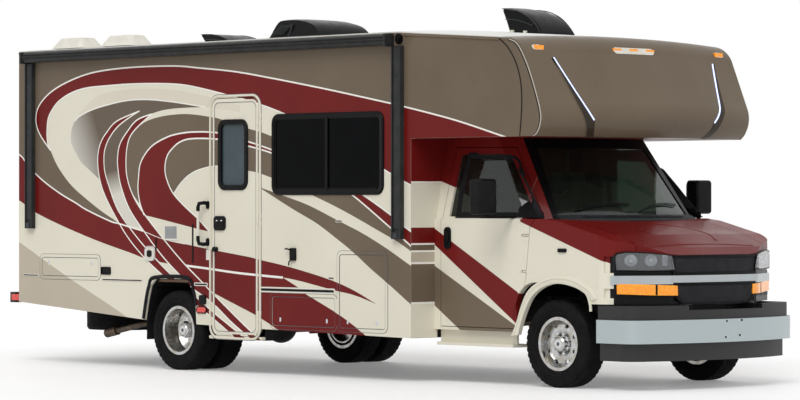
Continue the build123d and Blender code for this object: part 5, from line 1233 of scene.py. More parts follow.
HEAD_LAMP = [(614.6, 270.6), (614.4, 257), (616.5, 253.4), (626, 252.0), (650, 253.0), (671, 255.4),
             (672.4, 262), (674.2, 270.2), (650, 271.4)]
TURN_LAMP = [(616.6, 294.2), (616.2, 285), (618, 283.8), (650, 284.6), (676.4, 285.6), (676.8, 295.6),
             (650, 295.4)]
TURN_SPLIT = [(655, 295.2), (655, 284.8), (657, 284.8), (657, 295.2)]
BEZEL = [(614.4, 298.6), (613.2, 282.0), (650, 283.6), (679, 283.6), (684, 297), (650, 298.4)]
UPPER_GRILLE = [(-0.500, 0.948), (0.500, 0.948), (0.512, 1.020), (0.520, 1.085), (-0.520, 1.085),
                (-0.512, 1.020)]
LOWER_GRILLE = [(-0.40, 0.700), (0.40, 0.700), (0.465, 0.745), (0.50, 0.862), (-0.50, 0.862), (-0.465, 0.745)]
CELL = (0.034, 0.021)         # width and height of a honeycomb cell
BOWL_RING = [(-0.034, 0.005), (-0.018, 0.007), (-0.002, 0.013), (0.003, 0.013), (0.004, 0.004)]
BULB_R = 0.016


def grown(outline, by):
    """An outline moved towards (by < 0) or away from its middle by about that much."""
    ca, cb = centre_of(outline)
    _, right, _, top = reach(outline)
    return [(ca + (a - ca) * (1 + by / (right - ca)), cb + (b - cb) * (1 + by / (top - cb))) for a, b in outline]


def centre_of(outline):
    return sum(a for a, _ in outline) / len(outline), sum(b for _, b in outline) / len(outline)


def circle(y, z, radius, count):
    return [(y + radius * math.cos(2 * math.pi * t / count), z + radius * math.sin(2 * math.pi * t / count))
            for t in range(count)]


def nose_shape(pixels, side):
    """An outline on the cab's face, traced on the right and mirrored to the left."""
    outline = [on_nose(u, v) for u, v in pixels]
    return outline if side < 0 else [(-a, b) for a, b in outline][::-1]


def nose_front():
    """Honeycomb grilles, then each side's turn lamp and head lamp."""
    grille = Build()
    for outline in (UPPER_GRILLE, LOWER_GRILLE):
        # black plate behind each honeycomb: painted shade of the cavity behind the grille
        curved_plate(grille, outline, nose_face, FACE, 0.003)
        honeycomb(grille, grown(outline, -0.004), nose_face, *CELL, 0.0025, 0.0095, mark=1)
        curved_plate(grille, grown(outline, 0.012), nose_face, FACE, 0.014, mark=2, holes=[grown(outline, -0.006)])
    grille.make("grille_mesh", "coach", "black_frame", [OPENING_SHADE_BLACK, MESH_BAR, BLACK_TRIM])
    for side, name in RIGHT_LEFT[::-1]:
        for label, pixels, h0, h1, slot, shade, bevel in (
                ("turn_bezel_", BEZEL, FACE, 0.006, "black_plastic", BLACK_PLASTIC, 0.0),
                ("turn_split_", TURN_SPLIT, 0.016, 0.0175, "black_plastic", BLACK_PLASTIC, 0.0),
                ("turn_lens_", TURN_LAMP, 0.006, 0.016, "lamp_amber", AMBER, 0.0015)):
            plate = curved_plate(Build(), nose_shape(pixels, side), nose_face, h0, h1)
            plate.make(label + name, "coach", slot, shade, bevel=bevel)
        head = nose_shape(HEAD_LAMP, side)
        bowl = curved_plate(Build(), head, nose_face, FACE, 0.004)
        y_mid, z_mid = centre_of(head)
        for offset, radius in ((0.10, 0.046), (-0.05, 0.044)):
            y = y_mid + side * offset
            bowl.sweep(circle(y, z_mid, radius, 24), nose_face, BOWL_RING, mark=1)
            bowl.prism(circle(y, z_mid, BULB_R, 12), nose_face, 0.005, 0.014, 2)
        y_in = y_mid - side * 0.155
        bowl.prism(slab(y_in - 0.02, y_in + 0.02, z_mid - 0.045, z_mid + 0.045), nose_face, 0.004, 0.008, 1)
        bowl.make("head_lamp_bowl_" + name, "coach", "lamp_lens", [LAMP_DARK, LAMP_CHROME, BULB], smooth=True)
        cover_plate = curved_plate(Build(), head, nose_face, 0.016, 0.019)
        cover_plate.make("head_lamp_cover_" + name, "coach", "lamp_lens", CLEAR_LENS)
        rim = curved_plate(Build(), grown(head, 0.004), nose_face, FACE, 0.0195, holes=[grown(head, -0.005)])
        rim.make("head_lamp_rim_" + name, "coach", "black_plastic", BLACK_TRIM)


def bumper_holes():
    """Four plain holes for a plate bracket in the bumper's face, drawn as black discs: painted shade in the holes.
    """
    face_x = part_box("front_bumper")[1].x
    build = Build()
    for u, v in ((727, 321), (742, 320), (726, 337), (740, 335)):
        y, z = on_front(u, v, face_x)
        build.turned([(0.0, 0.0012), (0.007, 0.0012), (0.0095, 0.0003)], (face_x, y, z), "x", 16)
    build.make("bumper_holes", "coach", "black_plastic", OPENING_SHADE_BLACK)


# ---- front cap, cab and wheels ----
def cast(tree, y, z, x=6.0):
    """Where a line from the front meets a part at (y, z): the point and its outward normal."""
    point, normal, _, _ = tree.ray_cast(Vector((x, y, z)), Vector((-1, 0, 0)))
    if point is None:
        return None
    return point, normal if normal.x > 0 else -normal


ROOF_LIP = [(-0.012, 0.0), (-0.012, 0.007), (0.010, 0.010), (0.016, 0.0)]


def cap_seam():
    """Dark sealant bead between the coach's side and the cap, and the lip along the roof's edge."""
    edge = ROOF_EDGE_Z - 0.002
    for side, name in RIGHT_LEFT:
        place = at_side(side, SIDE_Y)
        seam = curve_through([(2.655, 2.880)] + SEAM, steps=5)
        line = Build().sweep(seam, place, bead(0.005, 0.004, top=0.8), closed=False)
        line.make("cap_seam_" + name, "coach", "black_plastic", SEAM_DARK, smooth=True)
        lip = Build().sweep([(-3.84, edge), (1.45, edge), CAP_TOP], place, ROOF_LIP, closed=False)
        lip.make("roof_edge_" + name, "coach", "coach_paint", PAINTS["taupe"], smooth=True)


def cap_lamp_bar():
    """Pale housing of the three middle marker lamps."""
    low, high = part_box("cap_lamps")
    hit = cast(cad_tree("front_cap"), 0.0, (low.z + high.z) / 2)
    if not hit:
        return
    point, normal = hit
    up = Vector((0, 1, 0)).cross(normal).normalized()
    if up.z < 0:
        up = -up
    bar = Build().prism(rounded(-0.245, 0.245, -0.030, 0.030, 0.028, 5),
                        lambda a, b, h: point + Vector((0, a, 0)) + up * b + normal * h, -0.006, 0.002)
    bar.make("cap_lamp_bar", "coach", "white_plastic", WHITE_TRIM, bevel=0.001)


def cab_dress():
    """Handles of the cab doors, and the side marker on each fender."""
    x0, z_top = on_side(444, 227, y=-CAB_Y)
    x1, z_foot = on_side(450.5, 249, y=-CAB_Y)
    for side, name in RIGHT_LEFT:
        place = at_side(side, CAB_Y)
        handle = Build().prism(rounded(x0, x1, z_foot, z_top, 0.035, 5), place, -0.012, 0.006)
        grip = rounded(x0 + 0.018, x1 - 0.018, z_foot + 0.05, z_top - 0.04, 0.02, 4)
        handle.prism(grip, place, 0.004, 0.020)
        handle.make("cab_handle_" + name, f"cab_door_{name}_body", "black_plastic", BLACK_PLASTIC, bevel=0.003)
    x0, z1 = on_side(557.5, 248.5, y=-CAB_Y)
    x1, z0 = on_side(566, 252.5, y=-CAB_Y)
    markers = Build()
    for side, _ in RIGHT_LEFT:
        markers.prism(rounded(x0, x1, z0, z1, 0.01, 3), at_side(side, CAB_Y - 0.008), -0.01, 0.012)
    markers.make("cab_side_markers", "coach", "black_plastic", BLACK_PLASTIC, bevel=0.002)


def wipers():
    """Two wiper arms on the windshield's foot."""
    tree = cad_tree("windshield")
    build = Build()
    for start_y, end_y in ((-0.62, -0.02), (0.10, 0.66)):
        spots = []
        for i in range(7):
            t = i / 6
            hit = cast(tree, start_y + (end_y - start_y) * t, 1.450 + 0.050 * math.sin(math.pi * t * 0.7))
            if hit:
                spots.append(hit[0] + hit[1] * 0.012)
        if len(spots) > 2:
            build.tube(spots, 0.006, 8)
            build.tube([p + Vector((0.006, 0, 0.014)) for p in spots[1:]], 0.004, 8)
    build.make("wipers", "coach", "black_plastic", BLACK_PLASTIC, smooth=True)


FRONT_HUB = (0.8955, 0.936, 0.063)            # y of the nuts, y of the centre cap, the cap's radius
REAR_HUB = (1.0245, 1.190, 0.0655)
NUT_CIRCLE_R = 0.086
NUT = [(0.0, 0.026), (0.009, 0.026), (0.0125, 0.021), (0.0125, -0.01)]
NUT_SEAT = [(0.0125, 0.006), (0.018, 0.004), (0.019, -0.008)]
FRONT_TYRE_Y = 0.855
TREAD_HALF_Y = 0.1125         # from a tyre's outer wall to its middle
TWIN_SPACING = 0.285
TREAD_COUNT = 44
TREAD_ROWS = ((-0.094, -0.060), (-0.050, -0.006), (0.006, 0.050), (0.060, 0.094))


def frame_material(slot):
    """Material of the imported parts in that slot."""
    for part in frame["record"]["subparts"]:
        if part["material_slot"] == slot:
            return frame["nodes"][part["node"]].data.materials[0]
    raise ValueError(slot)


def tread_blocks(tread, x, y, z):
    """Rows of slanted blocks round a tyre, a little proud of it; the outer rows stand lower."""
    pitch = 2 * math.pi / TREAD_COUNT
    span = pitch * 0.62
    for i in range(TREAD_COUNT):
        turn = 2 * math.pi * i / TREAD_COUNT
        for row, (a, b) in enumerate(TREAD_ROWS):
            skew = 0.25 * (1 if row % 2 else -1)
            corners = []
            for r in (WHEEL_Z - 0.004, WHEEL_Z + 0.0018 - (0.002 if row in (0, 3) else 0)):
                for offset, lean in ((a, -skew), (b, skew)):
                    for t in (turn - span / 2 + lean * span, turn + span / 2 + lean * span):
                        corners.append((x + r * math.cos(t), y + offset, z + r * math.sin(t)))
            tread.add(corners, [(4, 5, 7, 6), (0, 1, 5, 4), (2, 6, 7, 3), (0, 4, 6, 2), (1, 3, 7, 5)])


def wheel_dress():
    """Bright centre cap and nuts on each outer wheel, rings on the outer sidewalls and tread on every tyre."""
    for rim, tyre, side, body in (("front_rim_right", "front_tyre_right", -1, "front_wheel_right"),
                                  ("front_rim_left", "front_tyre_left", 1, "front_wheel_left"),
                                  ("rear_rims_right", "rear_tyres_right", -1, "rear_wheels_right"),
                                  ("rear_rims_left", "rear_tyres_left", 1, "rear_wheels_left")):
        low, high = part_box(rim)
        x, z = (low.x + high.x) / 2, (low.z + high.z) / 2
        front = rim.startswith("front")
        nut_y, cap_y, cap_r = FRONT_HUB if front else REAR_HUB

        def outward(profile):
            return [(radius, side * along) for radius, along in profile]

        cap = [(0.0, 0.014), (0.030, 0.013), (0.044, 0.009), (cap_r - 0.004, 0.002), (cap_r, -0.006),
               (cap_r, -0.03)]
        hub = Build().turned(outward(cap), (x, side * cap_y, z), "y", 40)
        hub.turned(outward([(0.0, 0.0155), (0.016, 0.0155), (0.018, 0.010)]), (x, side * cap_y, z), "y", 24, 1)
        for i in range(8):
            turn = math.pi * (i + 0.5) / 4
            centre = (x + NUT_CIRCLE_R * math.cos(turn), side * nut_y, z + NUT_CIRCLE_R * math.sin(turn))
            hub.turned(outward(NUT), centre, "y", 6)
            hub.turned(outward(NUT_SEAT), centre, "y", 16, 1)
        hub.make("wheel_nuts_" + body, body, "rim_silver", [CHROME, NUT_SHADE], smooth=True, angle=25)
        tyre_low, tyre_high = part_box(tyre)
        outer = side * max(abs(tyre_low.y), abs(tyre_high.y))
        rings = Build()
        for radius, sunk in ((0.318, 0.004), (0.262, 0.006)):
            ring = [(radius - 0.004, -0.004), (radius - 0.002, 0.0015), (radius + 0.002, 0.0015),
                    (radius + 0.004, -0.004)]
            rings.turned(outward(ring), (x, outer - side * sunk, z), "y", 72)
        rings.make("tyre_rings_" + body, body, "tyre", RUBBER, smooth=True)
        tread = Build()
        outer_middle = outer - side * TREAD_HALF_Y
        for y in [side * FRONT_TYRE_Y] if front else [outer_middle, outer_middle - side * TWIN_SPACING]:
            tread_blocks(tread, x, y, z)
        tread.make("tread_" + body, body, "tyre", frame_material("tyre"))


# ---- pieces traced on a curved part ----
def on_part(tree, u, v):
    """Where a pixel's sight line meets a part: the point and its outward normal."""
    line = sight_line(u, v)
    point, normal, _, _ = tree.ray_cast(CAMERA_PLACE, line.normalized())
    if point is None:
        return None
    return point, (normal if normal.dot(line) < 0 else -normal)


def flipped(spots):
    """Points and normals of the other side."""
    return [(Vector((p.x, -p.y, p.z)), Vector((n.x, -n.y, n.z))) for p, n in spots]


def ribbon(build, spots, half, rise, sink=0.002, mark=0):
    """A low strip along points on a surface."""
    verts = []
    for i, (point, normal) in enumerate(spots):
        run = spots[min(i + 1, len(spots) - 1)][0] - spots[max(i - 1, 0)][0]
        across = run.cross(normal).normalized()
        for side, lift in ((-1, -sink), (-0.8, rise), (0.8, rise), (1, -sink)):
            verts.append(point + across * half * side + normal * lift)
    return build.add(verts, ring_faces(len(spots), 4), mark)


def traced(tree, pixels, steps=5):
    hits = [on_part(tree, u, v) for u, v in curve_through(pixels, steps=steps)]
    return [hit for hit in hits if hit]


def moved(pixels, du, dv):
    return [(u + du, v + dv) for u, v in pixels]


CAP_LINE = [(508, 39.8), (514, 42.5), (519, 49), (526.5, 66), (534, 90), (539.2, 112), (539, 124), (535, 134),
            (528, 138.6)]
STRIP_LINE = [(553.5, 57.5), (565, 75.5), (577, 94), (588, 110.5), (594, 120)]
SCOOP_EDGE = [(554, 59), (561, 74), (569, 89), (577, 104), (583.5, 117), (586, 128), (585.4, 138)]
SCOOP_END = [(593, 138.4), (594.2, 128), (594.6, 121)]
SCOOP_ROWS, SCOOP_COLUMNS = 36, 5
SCOOP_LIFT, SCOOP_DEPTH = 0.0035, 0.004


def at_share(spots, t):
    """Point and normal at a share of the way along a run of spots."""
    place = t * (len(spots) - 1)
    i = min(int(place), len(spots) - 2)
    (a, na), (b, nb) = spots[i], spots[i + 1]
    return a.lerp(b, place - i), na.lerp(nb, place - i)


def scoop(tree, rim, inner):
    """A thin dark patch laid over the cap between two runs of spots: painted shade of the recess beside the light
    strip.
    """
    rows, size = SCOOP_ROWS, SCOOP_COLUMNS
    verts = []
    for i in range(rows + 1):
        (a, na), (b, nb) = at_share(rim, i / rows), at_share(inner, i / rows)
        for k in range(size):
            share = k / (size - 1)
            verts.append(tree.find_nearest(a.lerp(b, share))[0] + na.lerp(nb, share) * SCOOP_LIFT)
    faces = [(size * i + k, size * i + k + 1, size * (i + 1) + k + 1, size * (i + 1) + k)
             for i in range(rows) for k in range(size - 1)]
    n = len(verts)
    under = [v - rim[0][1] * SCOOP_DEPTH for v in verts]
    faces += [tuple(v + n for v in face[::-1]) for face in faces]
    border = [size * i for i in range(rows + 1)] + [size * rows + k for k in range(1, size)]
    border += [size * i + size - 1 for i in range(rows - 1, -1, -1)] + list(range(size - 2, 0, -1))
    faces += [(a, b, b + n, a + n) for a, b in zip(border, border[1:] + border[:1])]
    return Build().add(verts + under, faces)


def cap_dress():
    """Flange line, light strips and the scoops beside them on the front cap; each scoop is a dark patch of painted
    shade.
    """
    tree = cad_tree("front_cap")
    for name, pixels, half, rise, slot, shade in (
            ("cap_flange", CAP_LINE, 0.0045, 0.0016, "cap_paint", SEAM_DARK),
            # pale ribbon beside the flange line: a painted highlight on the flange's top edge
            ("cap_flange_highlight", moved(CAP_LINE, 1.3, -0.6), 0.004, 0.003, "cap_paint", PAINTS["pale_highlight"]),
            ("cap_strip", STRIP_LINE, 0.0075, 0.005, "lamp_lens", LED_WHITE),
            ("cap_channel", moved(STRIP_LINE, -1.2, 0.5), 0.014, 0.0025, "black_plastic", BLACK_TRIM)):
        right = traced(tree, pixels)
        for label, spots in (("right", right), ("left", flipped(right))):
            ribbon(Build(), spots, half, rise).make(f"{name}_{label}", "coach", slot, shade, smooth=True)
    edge = traced(tree, SCOOP_EDGE, 4)
    strip = traced(tree, STRIP_LINE + SCOOP_END[::-1], 4)
    for label, rim, inner in (("right", edge, strip), ("left", flipped(edge), flipped(strip))):
        scoop(tree, rim, inner).make("cap_scoop_" + label, "coach", "cap_paint", SCOOP_PAINTED_SHADE, smooth=True)
        border = ribbon(Build(), rim, 0.004, 0.0045)
        border.make("cap_scoop_rim_" + label, "coach", "cap_paint", PAINTS["taupe"], smooth=True)
    bases = Build()
    low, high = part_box("cap_lamps")
    for side, _ in RIGHT_LEFT:
        hit = cast(tree, side * (abs(low.y) - 0.035), (low.z + high.z) / 2)
        if not hit:
            continue
        point, normal = hit
        up = Vector((0, side, 0)).cross(normal).normalized() * side
        up = up if up.z > 0 else -up
        run = up.cross(normal)
        bases.prism(rounded(-0.052, 0.052, -0.026, 0.026, 0.024, 5),
                    lambda a, b, h: point + run * a + up * b + normal * h, -0.006, 0.006)
    bases.make("cap_lamp_bases", "coach", "white_plastic", WHITE_TRIM, bevel=0.002)


# ---- roof ----
ROOF_MID_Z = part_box("roof")[1].z
ROOF_FALL = (ROOF_EDGE_Z - CAP_TOP[1]) / (CAP_TOP[0] - ROOF_BREAK_X)
FOOT_SINK = 0.012             # the covers go that far into the roof's crown


def roof_base(x):
    """Height of the roof's middle under a unit: level, then falling to the cap."""
    return ROOF_MID_Z - max(0.0, x - ROOF_BREAK_X) * ROOF_FALL


COVER_ROWS = 9


def cover(build, x0, x1, half, outline):
    """A moulded cover: its side outline (share of length, height), crowned across, its sides leaning in."""
    line = curve_through(outline, steps=4)
    n = len(line)
    verts, faces = [], []
    for k in range(COVER_ROWS):
        t = 2 * k / (COVER_ROWS - 1) - 1
        for share, height in line:
            x = x0 + (x1 - x0) * share
            narrowing = 1 - 0.5 * height * (abs(t) > 0.99)
            z = height * (0.94 + 0.06 * (1 - t ** 4)) + roof_base(x) - FOOT_SINK
            verts.append((x, t * half * narrowing, z))
    for k in range(COVER_ROWS - 1):
        here, there = k * n, (k + 1) * n
        faces += [(here + i, here + i + 1, there + i + 1, there + i) for i in range(n - 1)]
        faces.append((here, there, there + n - 1, here + n - 1))
    last = (COVER_ROWS - 1) * n
    return build.add(verts, faces + [tuple(range(n)), tuple(range(last, last + n))[::-1]])


CONDITIONER = (-1.290, -0.600, 0.335)         # rear end, front end and half width
CONDITIONER_SIDE = [(0.0, 0.0), (0.0, 0.05), (0.03, 0.085), (0.10, 0.165), (0.17, 0.205), (0.30, 0.212),
                    (0.55, 0.205), (0.80, 0.165), (0.93, 0.105), (1.0, 0.03), (1.0, 0.0)]
CONDITIONER_RIB = [(-1.03, 0.03), (-1.00, 0.09), (-0.985, 0.15)]
VENTS = ((1.610, 0.490, 0.205, 0.215), (-2.420, 0.480, 0.205, 0.120))      # rear end, length, half width, height
VENT_SIDE = [(0.22, 0.0), (0.10, 0.55), (0.0, 1.0), (0.16, 1.005), (0.40, 0.95), (0.66, 0.76), (0.86, 0.45),
             (0.97, 0.16), (1.0, 0.0)]
VENT_ARCS = ([(0.02, 0.985), (0.16, 0.985), (0.40, 0.92), (0.66, 0.70), (0.86, 0.36), (0.95, 0.08)],
             [(0.10, 0.56), (0.30, 0.56), (0.52, 0.49), (0.76, 0.36)])


def conditioner(units):
    """Air conditioner with its side grilles, foot rails and ribs."""
    cover(units, *CONDITIONER, CONDITIONER_SIDE)
    base = roof_base(0)
    for i in range(9):
        z, x0 = base + 0.055 + 0.010 * i, -1.250 + 0.012 * i
        for side, _ in RIGHT_LEFT:
            y0, y1 = sorted((side * 0.322, side * (0.339 - 0.002 * i)))
            units.block(x0, x0 + 0.16, y0, y1, z, z + 0.004, 1)
    for side, _ in RIGHT_LEFT:
        y0, y1 = sorted((side * 0.328, side * 0.342))
        units.block(-1.285, -0.63, y0, y1, base - 0.002, base + 0.035, 1)
        units.sweep([(x, base + up) for x, up in CONDITIONER_RIB], at_side(side, 0.318),
                    bead(0.006, 0.012, top=2 / 3), closed=False, mark=1)


def hooded_vent(units, x0, length, half, high):
    """A vent's hood with its side ribs, feet and rear grille."""
    cover(units, x0, x0 + length, half, [(share, high * up) for share, up in VENT_SIDE])
    for side, _ in RIGHT_LEFT:
        for run in VENT_ARCS:
            arc = [(x0 + length * s, roof_base(x0 + length * s) - FOOT_SINK + high * up) for s, up in run]
            units.sweep(curve_through(arc, steps=4), at_side(side, half - 0.004), bead(0.004, 0.008), closed=False,
                        mark=1)
        for share in (0.28, 0.60):
            x = x0 + length * share
            y0, y1 = sorted((side * (half - 0.01), side * (half + 0.018)))
            units.block(x - 0.014, x + 0.014, y0, y1, roof_base(x) - FOOT_SINK, roof_base(x) + 0.018, 2)
    for i in range(8):
        t = (i + 0.5) / 8
        x = x0 + length * 0.22 * (1 - t) + 0.004
        z = roof_base(x0) - FOOT_SINK + high * t * 0.98
        units.block(x - 0.008, x + 0.002, -half + 0.015, half - 0.015, z - 0.003, z + 0.003, 1)


def roof_dress():
    """Air conditioner and two hooded vents, drawn as moulded shrouds with their ribs, grilles and feet."""
    units = Build()
    conditioner(units)
    for vent in VENTS:
        hooded_vent(units, *vent)
    made = units.make("roof_unit_covers", "coach", "vent_plastic", [VENT_BLACK, VENT_EDGE, WHITE_TRIM],
                      smooth=True, angle=40)
    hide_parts("roof_units")


# ---- seats ----
def pad_mesh(name, size, power=5.0):
    """A crowned closed form: a cube drawn to a soft-edged box whose sides pull in between its corners."""
    work = bmesh.new()
    bmesh.ops.create_cube(work, size=2.0)
    bmesh.ops.subdivide_edges(work, edges=work.edges, cuts=9, use_grid_fill=True)
    for vert in work.verts:
        u, v, w = vert.co
        reach_out = (abs(u) ** power + abs(v) ** power + abs(w) ** power) ** (1 / power)
        u, v, w = u / reach_out, v / reach_out, w / reach_out
        pull = 1 - 0.035 * (1 - u * u) - 0.02 * (1 - v * v)
        vert.co = Vector((u * size[0] / 2 * (1 - 0.03 * (1 - v * v)), v * size[1] / 2 * pull, w * size[2] / 2))
    mesh = bpy.data.meshes.new(name)
    work.to_mesh(mesh)
    work.free()
    return linked(name, mesh)


def baked(made):
    """Puts an object's modifiers into its mesh."""
    graph = bpy.context.evaluated_depsgraph_get()
    mesh = bpy.data.meshes.new_from_object(made.evaluated_get(graph))
    made.modifiers.clear()
    made.data = mesh


PUFF_FRAMES = 20


def puff(made, limit=0.012, voxel=0.008):
    """Cloth with a little air inside for a few frames, no point further than limit from where it began."""
    remesh = made.modifiers.new("even", "REMESH")
    remesh.mode, remesh.voxel_size = "VOXEL", voxel
    baked(made)
    start = np.empty(len(made.data.vertices) * 3)
    made.data.vertices.foreach_get("co", start)
    cloth = made.modifiers.new("cloth", "CLOTH")
    cloth.settings.use_pressure = True
    cloth.settings.uniform_pressure_force = 4.0
    cloth.settings.effector_weights.gravity = 0.0
    cloth.point_cache.frame_start, cloth.point_cache.frame_end = 1, PUFF_FRAMES
    for moment in range(1, PUFF_FRAMES + 1):
        bpy.context.scene.frame_set(moment)
    baked(made)
    bpy.context.scene.frame_set(1)
    end = np.empty_like(start)
    made.data.vertices.foreach_get("co", end)
    move = (end - start).reshape(-1, 3)
    size = np.linalg.norm(move, axis=1, keepdims=True)
    move *= np.minimum(1.0, limit / np.maximum(size, 1e-9))
    made.data.vertices.foreach_set("co", (start.reshape(-1, 3) + move).ravel())


def sew(made, axis, lines, front, depth=0.006, width=0.010):
    """Presses sewn channels into the pad's face along lines of constant coordinate."""
    for vert in made.data.vertices:
        for line in lines:
            away = abs(vert.co[axis] - line)
            if away < width * 2.5 and vert.normal[front] > 0.3:
                vert.co[front] -= depth * math.exp(-(away / width) ** 2)


SEAT_Y = 0.470
BACK_LEAN = math.atan2(0.080, 0.560)
CUSHION_PLACE = (1.957, SEAT_Y, 1.042)
# name, size, place, turn, the face with the channels, and the channels as (axis, lines)
PADS = (("cushion", (0.470, 0.470, 0.112), CUSHION_PLACE, 0.0, 2, ((1, (-0.13, 0.13)), (0, (-0.05, 0.08)))),
        ("back", (0.102, 0.450, 0.545), (1.712, SEAT_Y, 1.303), -BACK_LEAN, 0,
         ((1, (-0.12, 0.12)), (2, (-0.12, 0.06)))),
        ("head_rest", (0.086, 0.250, 0.160), (1.670, SEAT_Y, 1.711), -BACK_LEAN, 0, ()))


def bowed(turn, value):
    """One coordinate of a rounded square, from a function of the angle."""
    return math.copysign(abs(value(turn)) ** 0.4, value(turn))


def seat_bases():
    base = Build()
    for side, _ in RIGHT_LEFT:
        y = side * SEAT_Y
        base.prism(rounded(1.80, 2.12, y - 0.18, y + 0.18, 0.03), from_above, 0.7305, 0.955)
        base.prism(rounded(1.75, 2.18, y - 0.21, y + 0.21, 0.04), from_above, 0.955, 0.990)
        for offset in (-0.07, 0.07):
            base.tube([(1.655, y + offset, 1.560), (1.664, y + offset, 1.640)], 0.006, 10, 1)
        for way in (-1, 1):
            rail = [(1.69, y + way * 0.22, 1.02), (1.76, y + way * 0.235, 1.00), (1.86, y + way * 0.235, 0.985)]
            base.tube(rail, 0.012, 8)
    base.make("seat_bases", "coach", "seat_fabric", [BLACK_PLASTIC, CHROME], bevel=0.003)
    piping = Build()
    for side, _ in RIGHT_LEFT:
        ring = [(CUSHION_PLACE[0] + 0.222 * bowed(t, math.cos), side * SEAT_Y + 0.218 * bowed(t, math.sin), 1.083)
                for t in [2 * math.pi * i / 48 for i in range(48)]]
        piping.tube(ring + ring[:1], 0.004, 6)
    piping.make("seat_piping", "coach", "seat_fabric", SEAT_PIPING, smooth=True)


def cab_seats():
    """Two bucket seats: cushion, back and head rest as padded fabric, on a plastic pedestal and steel posts."""
    for label, size, centre, turn, front, seams in PADS:
        made = pad_mesh("seat_" + label + "_left", size)
        puff(made)
        made.data.update()
        for axis, lines in seams:
            sew(made, axis, lines, front)
        made.data.transform(Matrix.Translation(centre) @ Matrix.Rotation(turn, 4, "Y"))
        made.data.materials.clear()
        made.data.materials.append(SEAT_CLOTH)
        made.data.shade_smooth()
        twin = linked("seat_" + label + "_right", made.data.copy())
        twin.data.transform(Matrix.Scale(-1, 4, (0, 1, 0)))
        twin.data.flip_normals()
        for part in (made, twin):
            smooth = part.modifiers.new("smooth", "SUBSURF")
            smooth.levels = smooth.render_levels = 1
            baked(part)
            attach(part, "coach")
    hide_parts("cab_seats")
    seat_bases()


# ---- cab trim ----
BELT_Y = 0.985                # outer face of the cab doors at the foot of the glass
TRACED_LEAN = 0.140 / 0.680   # the door glass leans in that much per metre above it
EDGE_LEAN = 0.206             # the same, for points past the glass's edge
DOOR_LEAST_Y = 0.75           # a hit nearer the middle isn't the door's outer face


def evenly(points, parts=6):
    """A closed outline with each side cut into equal parts."""
    ends = points[1:] + points[:1]
    return [(a[0] + (b[0] - a[0]) * i / parts, a[1] + (b[1] - a[1]) * i / parts)
            for a, b in zip(points, ends) for i in range(parts)]


def glass_y(z, lean):
    return BELT_Y - max(0.0, z - BELT_Z) * lean


def door_surface(side, name):
    """Place on the outer face of a cab door and its glass, found by looking along y."""
    trees = [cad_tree("cab_door_" + name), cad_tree("cab_glass_" + name)]

    def place(a, b, h):
        hits = [tree.ray_cast(Vector((a, side * 3, b)), Vector((0, -side, 0)))[0] for tree in trees]
        out = max([abs(hit.y) for hit in hits if hit] + [0.0])
        return Vector((a, side * ((out if out > DOOR_LEAST_Y else glass_y(b, EDGE_LEAN)) + h), b))
    return place


DOOR_GLASS = [(456, 217.8), (455, 215.5), (458, 194), (466.4, 157), (468, 154.4), (471, 153.2), (508, 155.4),
              (511.5, 156.6), (514, 159.6), (528, 186), (543, 217.5), (542.5, 219.6)]
DOOR_SILL_Z = 1.402           # the rubber and the sail pass over the dashboard as a door opens
SAIL = [(517.8, 219.8), (517.9, 208), (524.6, 199.9), (529, 202), (544.5, 220.6)]
DOOR_RUBBER = [(-0.045, -0.004), (-0.040, 0.004), (-0.006, 0.007), (0.006, 0.003), (0.007, -0.004)]


def on_door_glass(pixels):
    """(x, z) of pixels on the leaning door glass, kept above the door's sill."""
    points = []
    for u, v in pixels:
        y = CAB_Y - 0.05
        for _ in range(8):
            x, z = on_side(u, v, y=-y)
            y = glass_y(z, TRACED_LEAN)
        points.append((x, max(z, DOOR_SILL_Z)))
    return points


COWL_X, COWL_BOW = 2.862, 0.140
COWL_HALF, COWL_SPAN = 0.84, 0.86
COWL_ROWS = 41
COWL_SECTION = [(-0.010, 1.424), (0.012, 1.414), (0.055, 1.396), (0.066, 1.374), (-0.006, 1.384)]


def cowl_x(y):
    """Rear edge of the cowl, bowed as the windshield's foot."""
    return COWL_X + COWL_BOW * (1 - (y / COWL_SPAN) ** 2)


def cab_trim():
    """Rubber round the door glass, mirror sail, mirror glass and the cowl panel under the windshield."""
    for side, name in RIGHT_LEFT:
        body = f"cab_door_{name}_body"
        on_door = door_surface(side, name)
        rubber = Build().sweep(evenly(on_door_glass(DOOR_GLASS))[::-1], on_door, DOOR_RUBBER)
        rubber.make("door_glass_rubber_" + name, body, "black_frame", RUBBER, smooth=True)
        sail = Build().prism(on_door_glass(SAIL), on_door, -0.004, 0.012)
        sail.make("mirror_sail_" + name, body, "black_plastic", BLACK_PLASTIC, bevel=0.003)
        low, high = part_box("mirror_" + name)
        y = (low.y + high.y) / 2 + side * 0.115
        mirrors = Build()
        for z0, z1 in ((1.520, 1.695), (1.450, 1.508)):
            mirrors.prism(rounded(y - 0.075, y + 0.075, z0, z1, 0.018, 4),
                          lambda a, b, h: Vector((low.x - h + 0.001, a, b)), 0.0, 0.002)
        mirrors.make("mirror_glass_" + name, body, "lamp_lens", MIRROR_FACE)
    verts = []
    for i in range(COWL_ROWS):
        y = -COWL_HALF + 2 * COWL_HALF * i / (COWL_ROWS - 1)
        verts += [(cowl_x(y) + ahead, y, z) for ahead, z in COWL_SECTION]
    cowl = Build().add(verts, ring_faces(COWL_ROWS, len(COWL_SECTION)))
    # black slabs across the cowl: painted shade in its vent slots
    for i in range(26):
        y = -0.60 + 0.048 * i
        x = cowl_x(y)
        cowl.prism(slab(x + 0.018, x + 0.046, y - 0.016, y + 0.016), from_above, 1.398, 1.4085, 1)
    cowl.make("cowl_panel", "coach", "black_plastic", [COWL_GREY, OPENING_SHADE_BLACK], smooth=True, angle=30)


